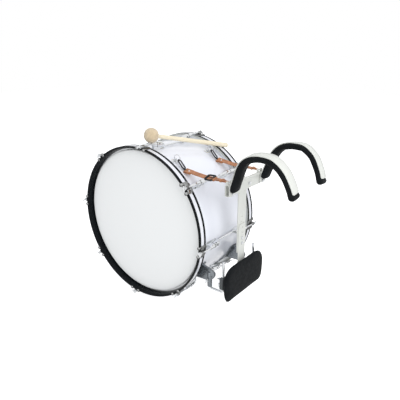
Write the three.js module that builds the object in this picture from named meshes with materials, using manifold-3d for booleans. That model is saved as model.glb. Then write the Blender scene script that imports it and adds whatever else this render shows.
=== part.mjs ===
// A marching bass drum on its shoulder carrier, with a mallet lying across its top.
// The drum's axis runs along X, the player stands on the -Y side and Z points up. Sizes are in millimetres.
import * as THREE from 'three';
import { mergeVertices } from 'three/addons/utils/BufferGeometryUtils.js';
import Module from 'manifold-3d';

const wasm = await Module();
wasm.setup();

// Clearances and overruns
const gap = 0.3;
const bite = 1;
const overrun = 5;

// Number of flat sides or steps on round forms
const hexSides = 6;
const plainSides = 8;
const boreSides = 10;
const roundSides = 12;
const linkSteps = 16;
const ringSteps = 20;
const bendSteps = 6;
const lugArchSteps = 4;
const cornerSteps = 3;
const padCornerSteps = 7;
const saddleSteps = 8;
const strapSteps = 16;

// Shell and heads
const shellDiameter = 559;
const shellLength = 298;
const shellWall = 7;
const headFilm = 1.2;
const headCollar = 13;
const headEdgeRound = 2.4;
const fleshHoopWidth = 10;
const fleshHoopDepth = 8;
const fleshHoopDrop = 5;

// Counterhoops
const hoopWall = 6.4;
const hoopLip = 4.6;
const hoopReach = 22;
const hoopSkirt = 7.8;
const hoopBevel = 6;
const hoopEase = 1.2;

// Tension stations
const stations = 8;
const stationTurn = 6.4;
const facetsPerStation = 6;
const rodDiameter = 6;
const rodStandoff = 7;
const rodBite = 32;
const rodCollarDiameter = 12;
const rodCollarLength = 5;
const handleLength = 20;
const handleDiameter = 7;
const handleTurns = [36, -28, 40, 33, -24, 38, -40, 30];

// Lugs
const lugLength = 70;
const lugWidth = 16;
const lugCover = 1.6;
const lugFootWidth = 25;
const lugFootThickness = 4;
const lugToHoop = 18.5;
const lugToeHeight = 11;
const lugFlatShare = 0.36;
const lugTubeDiameter = 6;
const lugTubeStandoff = 6.5;
const lugTubeBite = 3;

// Claws
const clawSpacing = 35;
const clawArmWidth = 11;
const clawThickness = 3;
const clawHookReach = 9;
const clawHookThickness = 4;
const clawBossWidth = 15;
const clawBossLength = 14;
const clawBossCover = 3;

// Strap rings and snap hooks
const strapInboard = 52;
const strapPlateAngle = 26.8;
const strapPlateLength = 30;
const strapPlateWidth = 22;
const strapPlateThickness = 2.5;
const platePinDiameter = 3.4;
const platePinRise = 10.5;
const platePostThickness = 2.5;
const platePostDepth = 6;
const platePostBore = 5;
const ringDiameter = 26;
const ringWire = 3;
const ringLift = 50;
const snapWidth = 12;
const snapLength = 38;
const snapWire = 4.4;
const snapDip = 20;

// Leather straps and their buckles
const strapWidth = 19;
const strapThickness = 4.5;
const strapDropShares = [[0, 0], [0.13, 0.27], [0.33, 0.82], [0.52, 1.2], [0.69, 1.1], [0.86, 1], [1, 1]];
const buckleWidth = 27;
const buckleLength = 20;
const buckleThickness = 8.5;
const bucklePlaceShare = 0.6;

// Carrier: how far it stands off the shell, and its two levels as shares of the shell's radius
const carrierStandoff = 72.2;
const crossbarLevelShare = 0.676;
const bellyLevelShare = -0.583;
const uprightWidth = 50;
const uprightThickness = 4;
const uprightPastCrossbar = 18;
const uprightPastBelly = 91;
const uprightHoles = 2;
const adjustHoleDiameter = 5.5;
const adjustPitch = 20.6;
const adjustRise = 226.4;
const adjustSteps = 2;

const crossbarPastArms = 15;
const crossbarHeight = 41;
const crossbarDepth = 18;
const crossbarWall = 2.5;

const bailInset = 2;
const bailRise = 7.5;
const bailPinDiameter = 5;
const bailPostThickness = 3;
const bailPostDepth = 9;

// Shoulder arms
const armLean = 5.3;
const armDepth = 233;
const armHeight = 159;
const armFootBelow = 17;
const armShares = [
  [0, 0], [0, 0.1], [0.012, 0.21], [0.07, 0.46], [0.13, 0.69], [0.2, 0.84], [0.303, 0.95], [0.42, 1],
  [0.54, 1.01], [0.66, 0.985], [0.77, 0.89], [0.862, 0.75], [0.93, 0.57], [0.978, 0.4], [1, 0.25],
];
const stripWidth = 39;
const stripThickness = 4;
const stripEndShare = 0.958;
const stripSteps = 30;
const padWidth = 50;
const padThickness = 20;
const padStartShare = 0.035;
const padRings = 26;
const padCrown = 3;
const padDrawIn = 2;
const padEndShares = [0.55, 0.86];

// Belly plate and pad
const platePastHooks = 23;
const plateHeight = 126;
const plateThickness = 3;
const plateCorner = 34;
const tongueWidth = 43;
const tongueRise = 199;
const tongueHoles = 4;
const bellyPadPastPlate = 12;
const bellyPadHeight = 148;
const bellyPadThickness = 17;
const bellyPadUpperCorner = 47;
const bellyPadLowerCorner = 30;
const bellyPadTaper = 6;
const bellyPadCrown = 3.5;
const bellyPadDrawIn = 2.5;
const bellyPadRimShares = [0.86, 0.6, 0.3];

// Hook rods, clamps and drum brackets
const hookInboard = 48;
const hookRodDiameter = 9.5;
const hookRodBend = 10;
const hookBendSteps = 4;
const hookRodFacets = 12;
const hookRodRise = 83;
const hookRodDrop = 40;
const hookReach = 59;
const hookTipRise = 5;
const bracketWidth = 40;
const bracketStartAngle = 114.5;
const bracketEndAngle = 134.5;
const bracketThickness = 4;
const bracketWebThickness = 9;
const sleeveDiameter = 18;
const sleeveRise = 16;
const sleeveLength = 45;
const clampWidth = 26;
const clampDepth = 14;
const clampHeight = 46;
const clampDrop = 2;
const clampScrewPitch = 26;

// Screws and bolts
const screwDiameter = 5;
const screwHubDiameter = 9;
const screwHubLength = 6;
const screwNeck = 6;
const wingSpan = 22;
const wingHeight = 9;
const wingThickness = 2.6;
const boltDiameter = 6;
const boltHeadDiameter = 12;
const boltHeadThickness = 4;
const crossbarBoltOffset = 12;
const bracketScrewDrop = 5;
const bracketScrewTurn = 60;
const clampScrewTurns = [25, 75];

// Mallet
const malletHeadDiameter = 55;
const malletHeadLength = 52;
const malletNeckDiameter = 15;
const malletButtDiameter = 18.5;
const malletLength = 362;
const malletSocket = 20;
const malletRestAngle = 30.2;
const malletBeyondLug = 1;

// Colours of the finishes
const whiteWrap = { color: 0xe9eaf2, roughness: 0.25, metalness: 0 };
const filmWhite = { color: 0xe6e8e6, roughness: 0.5, metalness: 0 };
const blackLacquer = { color: 0x14171a, roughness: 0.3, metalness: 0 };
const chrome = { color: 0xc8ccd0, roughness: 0.15, metalness: 1 };
const aluminium = { color: 0xb4b8bc, roughness: 0.4, metalness: 1 };
const blackSteel = { color: 0x202224, roughness: 0.4, metalness: 0.6 };
const creamPaint = { color: 0xe2e5df, roughness: 0.35, metalness: 0 };
const blackPlastic = { color: 0x17191a, roughness: 0.5, metalness: 0 };
const blackFoam = { color: 0x1b1c1e, roughness: 0.9, metalness: 0 };
const tanLeather = { color: 0xb9774a, roughness: 0.6, metalness: 0 };
const paleWood = { color: 0xd9c394, roughness: 0.5, metalness: 0 };
const creamFelt = { color: 0xd8c3a0, roughness: 0.95, metalness: 0 };

// Derived sizes of the drum
const degree = Math.PI / 180;
const segments = stations * facetsPerStation;
const shellRadius = shellDiameter / 2;
const shellEnd = shellLength / 2;
const headBack = shellEnd + gap;
const headFace = headBack + headFilm;
const collarRadius = shellRadius + gap + headFilm;
const fleshInner = collarRadius + gap;
const fleshOuter = fleshInner + fleshHoopWidth;
const fleshFront = shellEnd - fleshHoopDrop;
const hoopBore = fleshOuter + gap;
const hoopRadius = hoopBore + hoopWall;
const lipRadius = hoopBore - hoopLip;
const ledge = fleshFront + gap;
const hoopFront = headFace + hoopReach;
const hoopBack = ledge - hoopSkirt;
const rodRadius = rodDiameter / 2;
const rodCircle = hoopRadius + rodStandoff;
const rodHole = rodRadius + gap;
const lugOuter = hoopBack - lugToHoop;
const lugTop = rodCircle + rodRadius + lugCover;
const rodInner = lugOuter - rodBite;
const handleAxis = hoopFront + gap + rodCollarLength + handleDiameter / 2;

// Derived places of the carrier, with Y pointing from the player to the drum
const strapSpread = shellEnd - strapInboard;
const hookSpread = shellEnd - hookInboard;
const crossbarLevel = shellRadius * crossbarLevelShare;
const bellyLevel = shellRadius * bellyLevelShare;
const crossbarLength = 2 * (strapSpread + crossbarPastArms);
const plateWidth = 2 * (hookSpread + platePastHooks);
const bellyPadWidth = plateWidth + 2 * bellyPadPastPlate;
const sleeveTop = bellyLevel + sleeveRise;
const uprightFace = -shellRadius - carrierStandoff;
const uprightBack = uprightFace - uprightThickness;
const crossbarRear = uprightBack - gap;
const crossbarFront = crossbarRear - crossbarDepth;
const crossbarTop = crossbarLevel + crossbarHeight / 2;
const stripInner = crossbarFront - gap;
const plateRear = uprightBack - gap;
const plateFront = plateRear - plateThickness;
const padRear = plateFront - gap;
const clampFront = plateRear + gap;
const hookRodRadius = hookRodDiameter / 2;
const clampRodY = clampFront + clampDepth / 2;
const hookTop = bellyLevel + hookRodRise;
const hookLow = bellyLevel - hookRodDrop;
const sleeveY = clampRodY + hookReach;
const armFootHeight = crossbarLevel - armFootBelow;

// Geometry helpers
function closed(geometry) {
  const bare = geometry.clone();
  bare.deleteAttribute('normal');
  bare.deleteAttribute('uv');
  const merged = mergeVertices(bare, 1e-3);
  const index = merged.index.array;
  const place = merged.attributes.position.array;
  const kept = [];
  let volume = 0;
  for (let i = 0; i < index.length; i += 3) {
    const [a, b, c] = [index[i], index[i + 1], index[i + 2]];
    if (a === b || b === c || c === a) continue;
    kept.push(a, b, c);
    const [p, q, r] = [a, b, c].map((k) => new THREE.Vector3().fromArray(place, 3 * k));
    volume += p.dot(q.cross(r));
  }
  if (volume < 0) kept.reverse();
  merged.setIndex(kept);
  return merged;
}

function manifoldOf(geometry) {
  const clean = closed(geometry);
  const vertProperties = new Float32Array(clean.attributes.position.array);
  const triVerts = new Uint32Array(clean.index.array);
  return new wasm.Manifold(new wasm.Mesh({ numProp: 3, vertProperties, triVerts }));
}

function geometryOf(manifold) {
  const mesh = manifold.getMesh();
  const geometry = new THREE.BufferGeometry();
  geometry.setAttribute('position', new THREE.BufferAttribute(new Float32Array(mesh.vertProperties), 3));
  geometry.setIndex(new THREE.BufferAttribute(new Uint32Array(mesh.triVerts), 1));
  return geometry;
}

function joined(first, ...rest) {
  return geometryOf(rest.reduce((sum, part) => sum.add(manifoldOf(part)), manifoldOf(first)));
}

function cut(body, ...tools) {
  return geometryOf(tools.reduce((left, tool) => left.subtract(manifoldOf(tool)), manifoldOf(body)));
}

function placed(geometry, matrix) {
  return geometry.clone().applyMatrix4(matrix);
}

function shifted(geometry, x, y, z) {
  return geometry.clone().translate(x, y, z);
}

// A box given by its lowest and highest corners
function block(low, high) {
  const size = high.map((value, k) => value - low[k]);
  const centre = high.map((value, k) => (value + low[k]) / 2);
  return new THREE.BoxGeometry(...size).translate(...centre);
}

// A cylinder whose axis runs along X, Y or Z between two values of that axis
function rod(axis, from, to, radius, sides) {
  const geometry = new THREE.CylinderGeometry(radius, radius, Math.abs(to - from), sides);
  if (axis === 'x') geometry.rotateZ(-Math.PI / 2);
  if (axis === 'z') geometry.rotateX(Math.PI / 2);
  const middle = (from + to) / 2;
  return geometry.translate(...['x', 'y', 'z'].map((name) => (name === axis ? middle : 0)));
}

// A ring turned about the drum's axis from [x, radius] points, on the near (-1) or far (+1) side
function turned(points, side) {
  const profile = [...points, points[0]].map(([x, radius]) => new THREE.Vector2(radius, x * side));
  return new THREE.LatheGeometry(profile, segments).rotateZ(-Math.PI / 2).rotateX(stationTurn * degree);
}

// A flat shape with sharp edges and an even depth
function extruded(shape, depth, curveSegments = bendSteps) {
  return new THREE.ExtrudeGeometry(shape, { depth, bevelEnabled: false, curveSegments });
}

// A flat outline of [y, z] points, extruded along X and centred on it
function sideOutline(points, width) {
  const shape = new THREE.Shape(points.map(([y, z]) => new THREE.Vector2(y, z)));
  return upright(extruded(shape, width), width);
}

// Turns an extrusion so that its first two axes are Y and Z and its depth is centred on X
function upright(geometry, depth) {
  const turn = new THREE.Matrix4().makeBasis(
    new THREE.Vector3(0, 1, 0), new THREE.Vector3(0, 0, 1), new THREE.Vector3(1, 0, 0));
  return geometry.translate(0, 0, -depth / 2).applyMatrix4(turn);
}

// Turns an extrusion so that its first two axes are X and Z and its depth runs towards the player from rear
function facing(geometry, rear) {
  return geometry.rotateX(Math.PI / 2).translate(0, rear, 0);
}

// A closed band of even thickness beside a line of [y, z] points
function band(points, from, to) {
  const normals = points.map((point, k) => {
    const before = points[Math.max(k - 1, 0)];
    const after = points[Math.min(k + 1, points.length - 1)];
    const along = new THREE.Vector2(after[0] - before[0], after[1] - before[1]).normalize();
    return [-along.y, along.x];
  });
  const offset = (amount) => points.map(
    ([y, z], k) => [y + normals[k][0] * amount, z + normals[k][1] * amount]);
  return [...offset(from), ...offset(to).reverse()];
}

// Points at even steps along a smooth curve through [y, z] points
function smooth(points, steps, fromShare = 0, toShare = 1) {
  const curve = new THREE.CatmullRomCurve3(points.map(([y, z]) => new THREE.Vector3(0, y, z)));
  return Array.from({ length: steps + 1 }, (_, k) => {
    const point = curve.getPointAt(fromShare + ((toShare - fromShare) * k) / steps);
    return [point.y, point.z];
  });
}

function roundedOutline(width, height, corner) {
  const shape = new THREE.Shape();
  const [x, z] = [width / 2, height / 2];
  shape.moveTo(-x + corner, -z);
  shape.lineTo(x - corner, -z);
  shape.absarc(x - corner, -z + corner, corner, -Math.PI / 2, 0);
  shape.absarc(x - corner, z - corner, corner, 0, Math.PI / 2);
  shape.absarc(-x + corner, z - corner, corner, Math.PI / 2, Math.PI);
  shape.absarc(-x + corner, -z + corner, corner, Math.PI, 1.5 * Math.PI);
  return shape;
}

// A skin over a stack of rings of points, closed by a fan over each end ring
function lofted(rings) {
  const around = rings[0].length;
  const places = rings.flat();
  const index = [];
  for (let k = 0; k + 1 < rings.length; k += 1) {
    for (let j = 0; j < around; j += 1) {
      const next = (j + 1) % around;
      const [a, b] = [k * around + j, k * around + next];
      const [c, d] = [b + around, a + around];
      index.push(a, b, c, a, c, d);
    }
  }
  for (const [ring, flip] of [[0, true], [rings.length - 1, false]]) {
    const sum = rings[ring].reduce((total, point) => total.add(point), new THREE.Vector3());
    places.push(sum.divideScalar(around));
    for (let j = 0; j < around; j += 1) {
      const pair = [ring * around + j, ring * around + ((j + 1) % around)];
      index.push(...(flip ? pair.reverse() : pair), places.length - 1);
    }
  }
  const geometry = new THREE.BufferGeometry().setFromPoints(places);
  geometry.setIndex(index);
  return geometry;
}

// The scene graph
const drum = new THREE.Group();

function piece(name, geometry, finish, parent = drum) {
  const mesh = new THREE.Mesh(closed(geometry), new THREE.MeshStandardMaterial(finish));
  mesh.name = name;
  parent.add(mesh);
  return mesh;
}

const sides = [['near', -1], ['far', 1]];

// Where a fitting sits on the drum: its X points out through the head and its Z away from the drum's axis
function stationMatrix(side, angle) {
  const around = new THREE.Matrix4().makeRotationX(angle * degree);
  return around.multiply(new THREE.Matrix4().makeRotationZ(side > 0 ? 0 : Math.PI));
}

function stationAngle(k) {
  return stationTurn + (360 * k) / stations;
}

// Lug: a foot on the shell and an arched body that holds the rod's thread
function lug() {
  const inner = lugOuter - lugLength;
  const foot = block(
    [inner, -lugFootWidth / 2, shellRadius - bite],
    [lugOuter, lugFootWidth / 2, shellRadius + lugFootThickness]);
  const flatEnd = lugOuter - lugLength * lugFlatShare;
  const base = shellRadius + bite;
  const toe = shellRadius + lugToeHeight;
  const side = new THREE.Shape();
  side.moveTo(lugOuter, base);
  side.lineTo(lugOuter, lugTop);
  side.lineTo(flatEnd, lugTop);
  side.quadraticCurveTo((flatEnd + inner) / 2, lugTop, inner + bite, toe);
  side.lineTo(inner + bite, base);
  const body = extruded(side, lugWidth, lugArchSteps);
  body.translate(0, 0, -lugWidth / 2).rotateX(Math.PI / 2);
  const bore = rod('x', rodInner - gap, lugOuter + overrun, rodHole, plainSides).translate(0, 0, rodCircle);
  return cut(joined(foot, body), bore);
}

// Claw: a bridge over the hoop with a boss for the rod and two prongs hooked over the hoop's front
function claw() {
  const under = hoopRadius - bite;
  const top = hoopRadius + clawThickness;
  const halfBridge = (clawSpacing + clawArmWidth) / 2;
  const parts = [block([hoopBack, -halfBridge, under], [hoopFront, halfBridge, top])];
  for (const across of [-clawSpacing / 2, clawSpacing / 2]) {
    const [low, high] = [across - clawArmWidth / 2, across + clawArmWidth / 2];
    parts.push(block(
      [hoopFront - bite, low, hoopRadius - clawHookReach], [hoopFront + clawHookThickness, high, top]));
  }
  const bossTop = rodCircle + rodRadius + clawBossCover;
  parts.push(block(
    [hoopFront - clawBossLength, -clawBossWidth / 2, under], [hoopFront, clawBossWidth / 2, bossTop]));
  return joined(...parts);
}

// Tension rod: thread, collar and the cross handle that turns it
function tensionRod(turn) {
  const seat = hoopFront + gap;
  const thread = rod('x', rodInner, hoopFront + bite, rodRadius, plainSides);
  const collar = rod('x', seat, seat + rodCollarLength + bite, rodCollarDiameter / 2, plainSides);
  const handle = rod('y', -handleLength / 2, handleLength / 2, handleDiameter / 2, hexSides);
  return joined(thread, collar, handle.translate(handleAxis, 0, 0).rotateX(turn * degree));
}

// Shell with its sixteen lugs
const shellTube = turned(
  [[-shellEnd, shellRadius], [shellEnd, shellRadius], [shellEnd, shellRadius - shellWall],
    [-shellEnd, shellRadius - shellWall]], 1);
const lugs = [];
const rodBores = { near: [], far: [] };
const claws = { near: [], far: [] };
for (const [sideName, side] of sides) {
  for (let k = 0; k < stations; k += 1) {
    const matrix = stationMatrix(side, stationAngle(k));
    lugs.push(placed(lug(), matrix));
    claws[sideName].push(placed(claw(), matrix));
    const bore = rod('x', hoopBack - overrun, hoopFront + overrun, rodHole, plainSides);
    rodBores[sideName].push(placed(bore.translate(0, 0, rodCircle), matrix));
  }
}
const lugInner = lugOuter - lugLength + lugTubeBite;
for (let k = 0; k < stations; k += 1) {
  const tube = rod('x', -lugInner, lugInner, lugTubeDiameter / 2, hexSides);
  lugs.push(placed(tube.translate(0, 0, shellRadius + lugTubeStandoff), stationMatrix(1, stationAngle(k))));
}
piece('shell', joined(shellTube, ...lugs), whiteWrap);

for (const [sideName, side] of sides) {
  const edge = headFace - headEdgeRound;
  piece(`${sideName}_head`, turned([
    [headFace, 0], [headFace, collarRadius - headEdgeRound], [edge, collarRadius],
    [headFace - headCollar, collarRadius], [headFace - headCollar, collarRadius - headFilm],
    [headBack, collarRadius - headFilm], [headBack, 0]], side), filmWhite);
  piece(`${sideName}_flesh_hoop`, turned([
    [fleshFront, fleshInner], [fleshFront, fleshOuter], [fleshFront - fleshHoopDepth, fleshOuter],
    [fleshFront - fleshHoopDepth, fleshInner]], side), aluminium);
  const hoop = turned([
    [hoopFront, lipRadius + hoopBevel], [hoopFront, hoopRadius - hoopEase],
    [hoopFront - hoopEase, hoopRadius], [hoopBack, hoopRadius], [hoopBack, hoopBore],
    [ledge, hoopBore], [ledge, lipRadius], [hoopFront - hoopBevel, lipRadius]], side);
  piece(`${sideName}_hoop`, cut(joined(hoop, ...claws[sideName]), ...rodBores[sideName]), blackLacquer);
  for (let k = 0; k < stations; k += 1) {
    const place = new THREE.Group();
    place.applyMatrix4(stationMatrix(side, stationAngle(k)));
    drum.add(place);
    piece(`${sideName}_rod_${k + 1}`, tensionRod(handleTurns[k]), chrome, place).position.z = rodCircle;
  }
}

// Strap fittings, in a local frame on the shell: Y runs round the shell away from the player, Z outwards
const platePin = shellRadius + platePinRise;
const ringRadius = ringDiameter / 2;
const ringHang = ringRadius - (ringWire + platePinDiameter) / 2 - gap;
const [liftCos, liftSin] = [Math.cos(ringLift * degree), Math.sin(ringLift * degree)];
const [dipCos, dipSin] = [Math.cos(snapDip * degree), Math.sin(snapDip * degree)];
const ringCentre = [-ringHang * liftCos, platePin + ringHang * liftSin];
const ringGrip = [ringCentre[0] - ringRadius * dipCos, ringCentre[1] - ringRadius * dipSin];
const snapOffset = (snapWire + ringWire) / 2 + gap;

// A bail: two posts with a round pin between them, as a list of parts with the pin's middle at [x, y, z]
function bail([x, y, z], foot, bore, pinDiameter, postThickness, postDepth) {
  const parts = [-1, 1].map((end) => {
    const across = [x + (end * bore) / 2, x + end * (bore / 2 + postThickness)];
    return block(
      [Math.min(...across), y - postDepth / 2, foot],
      [Math.max(...across), y + postDepth / 2, z + postDepth / 2]);
  });
  parts.push(shifted(rod('x', -bore / 2 - bite, bore / 2 + bite, pinDiameter / 2, boreSides), x, y, z));
  return parts;
}

function strapPlate() {
  const low = shellRadius + gap;
  const base = block(
    [-strapPlateLength / 2, -strapPlateWidth / 2, low],
    [strapPlateLength / 2, strapPlateWidth / 2, low + strapPlateThickness]);
  return joined(base, ...bail(
    [0, 0, platePin], low + bite, platePostBore, platePinDiameter, platePostThickness, platePostDepth));
}

// Snap hook: an oval link whose upper end holds the strap ring and whose lower end meets the leather
function snapHook() {
  const bow = snapWidth / 2;
  const link = new THREE.TorusGeometry(bow, snapWire / 2, hexSides, linkSteps);
  const place = link.attributes.position;
  for (let k = 0; k < place.count; k += 1) {
    if (place.getY(k) < -gap) place.setY(k, place.getY(k) - snapLength + snapWidth);
  }
  return link.translate(0, snapOffset - bow, 0).rotateX(snapDip * degree);
}

// Where the leather starts, and the line that it follows to the bail on the crossbar, as [y, z]
const strapFrame = new THREE.Matrix4().makeRotationX(strapPlateAngle * degree);
const hookRun = new THREE.Vector3(0, -dipCos, -dipSin);
const strapStart = new THREE.Vector3(0, ringGrip[0], ringGrip[1])
  .addScaledVector(hookRun, snapLength - snapOffset + (snapWire + strapThickness) / 2 + gap)
  .applyMatrix4(strapFrame);
const bailY = crossbarRear - bailInset - bailPostDepth / 2;
const bailZ = crossbarTop + bailRise;
const strapEnd = [bailY + bailPinDiameter / 2 + gap, bailZ];
const strapSpan = [strapEnd[0] - strapStart.y, strapEnd[1] - strapStart.z];
const strapLine = smooth(strapDropShares.map(([along, down]) =>
  [strapStart.y + strapSpan[0] * along, strapStart.z + strapSpan[1] * down]), strapSteps);

function buckle() {
  const k = Math.round(bucklePlaceShare * (strapLine.length - 1));
  const [[y0, z0], [y1, z1]] = [strapLine[k - 1], strapLine[k + 1]];
  const half = [buckleWidth / 2, buckleLength / 2, buckleThickness / 2];
  const frame = block(half.map((value) => -value), half);
  const room = [strapWidth / 2 + gap, buckleLength / 2 + overrun, strapThickness / 2 + gap];
  const slot = block(room.map((value) => -value), room);
  return shifted(
    cut(frame, slot).rotateX(Math.atan2(z0 - z1, y0 - y1)), 0, (y0 + y1) / 2, (z0 + z1) / 2);
}

for (const [sideName, side] of sides) {
  const place = new THREE.Group();
  place.position.x = side * strapSpread;
  place.rotation.x = strapPlateAngle * degree;
  drum.add(place);
  piece(`${sideName}_strap_plate`, strapPlate(), chrome, place);
  const ring = new THREE.TorusGeometry(ringRadius, ringWire / 2, hexSides, ringSteps).rotateY(Math.PI / 2);
  piece(`${sideName}_strap_ring`, ring, chrome, place).position.set(0, ...ringCentre);
  piece(`${sideName}_snap_hook`, snapHook(), blackSteel, place).position.set(0, ...ringGrip);
  const strap = sideOutline(band(strapLine, -strapThickness / 2, strapThickness / 2), strapWidth);
  piece(`${sideName}_strap`, strap, tanLeather).position.x = side * strapSpread;
  piece(`${sideName}_buckle`, buckle(), blackSteel).position.x = side * strapSpread;
}

// Upright bar with its row of adjusting holes
const carrier = new THREE.Group();
drum.add(carrier);
function hole(x, from, to, z, diameter) {
  return shifted(rod('y', from - overrun, to + overrun, diameter / 2, plainSides), x, 0, z);
}

// A hole for a bolt with its running clearance
function boltHole(x, from, to, z) {
  return hole(x, from, to, z, boltDiameter + 2 * gap);
}

// Height of a hole in the adjusting row, counted down from the top one
function adjustHeight(k) {
  return bellyLevel + adjustRise - k * adjustPitch;
}

const tongueRow = Array.from({ length: tongueHoles }, (_, k) => uprightHoles + k);
const boltRow = tongueRow.slice(-2);
const slotLow = adjustHeight(boltRow[1]) - boltDiameter / 2 - gap;
const slotTop = adjustHeight(boltRow[0] - adjustSteps) + boltDiameter / 2 + gap;
const slotHalf = boltDiameter / 2 + gap;
const uprightSlot = block(
  [-slotHalf, uprightBack - overrun, slotLow], [slotHalf, uprightFace + overrun, slotTop]);
const uprightCuts = Array.from({ length: uprightHoles }, (_, k) =>
  hole(0, uprightBack, uprightFace, adjustHeight(k), adjustHoleDiameter));
piece('upright_bar', cut(
  block([-uprightWidth / 2, uprightBack, bellyLevel + uprightPastBelly],
    [uprightWidth / 2, uprightFace, crossbarLevel + uprightPastCrossbar]),
  uprightSlot, boltHole(crossbarBoltOffset, uprightBack, uprightFace, crossbarLevel), ...uprightCuts),
creamPaint, carrier);

// Crossbar: a hollow bar with a bail for each strap on its top
const strapBails = sides.flatMap(([, side]) => bail(
  [side * strapSpread, bailY, bailZ], crossbarTop - bite, strapWidth + 4 * gap, bailPinDiameter,
  bailPostThickness, bailPostDepth));
const crossbarLow = crossbarLevel - crossbarHeight / 2;
const crossbarTube = block(
  [-crossbarLength / 2, crossbarFront, crossbarLow], [crossbarLength / 2, crossbarRear, crossbarTop]);
const crossbarHollow = block(
  [-crossbarLength / 2 - overrun, crossbarFront + crossbarWall, crossbarLow + crossbarWall],
  [crossbarLength / 2 + overrun, crossbarRear - crossbarWall, crossbarTop - crossbarWall]);
const armBoltHeight = armFootHeight + boltHeadDiameter / 2 + 2 * gap;
const armBoltHoles = sides.map(([, side]) =>
  boltHole(side * strapSpread, crossbarFront, crossbarRear, armBoltHeight));
const middleBoltHole = boltHole(crossbarBoltOffset, crossbarFront, crossbarRear, crossbarLevel);
piece('crossbar', joined(
  cut(crossbarTube, crossbarHollow, middleBoltHole, ...armBoltHoles), ...strapBails), creamPaint, carrier);

// A bolt along Y with a six-sided head at its player end
function bolt(headFaceY, endY) {
  const head = rod('y', headFaceY - boltHeadThickness, headFaceY, boltHeadDiameter / 2, hexSides);
  return joined(head, rod('y', headFaceY - bite, endY, boltDiameter / 2, plainSides));
}

piece('crossbar_bolt', bolt(crossbarFront - gap, uprightFace + boltHeadThickness), chrome, carrier)
  .position.set(crossbarBoltOffset, 0, crossbarLevel);

// Belly plate with the tongue whose row of holes sets its height, and the two bolts in that row
const plateShape = roundedOutline(plateWidth, plateHeight, plateCorner);
const bellySheet = facing(extruded(plateShape, plateThickness, cornerSteps), plateRear);
bellySheet.translate(0, 0, bellyLevel);
const tongue = block(
  [-tongueWidth / 2, plateFront, bellyLevel], [tongueWidth / 2, plateRear, bellyLevel + tongueRise]);
const tongueCuts = tongueRow.map((k) => (boltRow.includes(k)
  ? boltHole(0, plateFront, plateRear, adjustHeight(k))
  : hole(0, plateFront, plateRear, adjustHeight(k), adjustHoleDiameter)));
piece('belly_plate', cut(joined(bellySheet, tongue), ...tongueCuts), creamPaint, carrier);
boltRow.forEach((row, k) => {
  const fixing = bolt(plateFront - gap, uprightFace + boltHeadThickness);
  piece(`plate_bolt_${k + 1}`, fixing, chrome, carrier).position.z = adjustHeight(row);
});

// The pad's edge in front view, drawn in by an amount, as [x, z] from its centre
function padOutline(inset) {
  const shape = new THREE.Shape();
  const [w, h] = [bellyPadWidth / 2 - inset, bellyPadHeight / 2 - inset];
  const [up, low] = [bellyPadUpperCorner - inset, bellyPadLowerCorner - inset];
  const foot = w - bellyPadTaper;
  shape.absarc(foot - low, -h + low, low, -Math.PI / 2, 0);
  shape.absarc(w - up, h - up, up, 0, Math.PI / 2);
  shape.absarc(-w + up, h - up, up, Math.PI / 2, Math.PI);
  shape.absarc(-foot + low, -h + low, low, Math.PI, 1.5 * Math.PI);
  return shape.getPoints(padCornerSteps).map((point) => [point.x, point.y]);
}

function bellyPad() {
  const front = padRear - bellyPadThickness + bellyPadCrown;
  const ring = (inset, y, share = 1) => padOutline(inset).map(([x, z]) =>
    new THREE.Vector3(x * share, y, z * share + bellyLevel));
  const side = bellyPadThickness / 4;
  const crown = (share) => front - bellyPadCrown * (1 - share * share);
  return lofted([
    ring(bellyPadDrawIn, padRear), ring(0, padRear - side), ring(0, front + side), ring(bellyPadDrawIn, front),
    ...bellyPadRimShares.map((share) => ring(bellyPadDrawIn, crown(share), share))]);
}

piece('belly_pad', bellyPad(), blackFoam, carrier);

// Wing screw along its own X, with its tip at zero and its wings at the other end
function wingScrew(length, turn) {
  const stem = rod('x', 0, length + bite, screwDiameter / 2, plainSides);
  const hub = rod('x', length, length + screwHubLength, screwHubDiameter / 2, plainSides);
  const wings = block(
    [length + screwHubLength - wingHeight / 2, -wingSpan / 2, -wingThickness / 2],
    [length + screwHubLength + wingHeight / 2, wingSpan / 2, wingThickness / 2]);
  return joined(stem, hub, wings).rotateX(turn * degree);
}

const screwHole = screwDiameter / 2 + gap;
const clampTip = clampRodY + hookRodRadius + gap;
const clampRear = clampFront + clampDepth;
const screwHeights = [clampScrewPitch / 2, -clampScrewPitch / 2];

function clampBlock() {
  const body = block(
    [-clampWidth / 2, clampFront, -clampHeight / 2], [clampWidth / 2, clampRear, clampHeight / 2]);
  const bore = rod('z', -clampHeight / 2 - overrun, clampHeight / 2 + overrun, hookRodRadius + gap, roundSides);
  const screwBores = screwHeights.map((z) =>
    shifted(rod('y', clampRodY, clampRear + overrun, screwHole, boreSides), 0, 0, z));
  return cut(body, shifted(bore, 0, clampRodY, 0), ...screwBores);
}

// Hook rod: down from the clamp, along below the pad and up into the drum bracket's sleeve
function hookRod() {
  const bend = (y, from) => Array.from({ length: hookBendSteps + 1 }, (_, k) => {
    const angle = from + (90 * k) / hookBendSteps;
    const [c, s] = [Math.cos(angle * degree), Math.sin(angle * degree)];
    return [y + hookRodBend * c, hookLow + hookRodBend + hookRodBend * s, angle + 90];
  });
  const line = [
    [clampRodY, hookTop, -90], ...bend(clampRodY + hookRodBend, 180), ...bend(sleeveY - hookRodBend, 270),
    [sleeveY, bellyLevel + hookTipRise, 90]];
  return lofted(line.map(([y, z, heading]) => Array.from({ length: hookRodFacets }, (_, j) => {
    const angle = (2 * Math.PI * j) / hookRodFacets;
    const across = hookRodRadius * Math.sin(angle);
    return new THREE.Vector3(
      hookRodRadius * Math.cos(angle), y - across * Math.sin(heading * degree),
      z + across * Math.cos(heading * degree));
  })));
}

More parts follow.
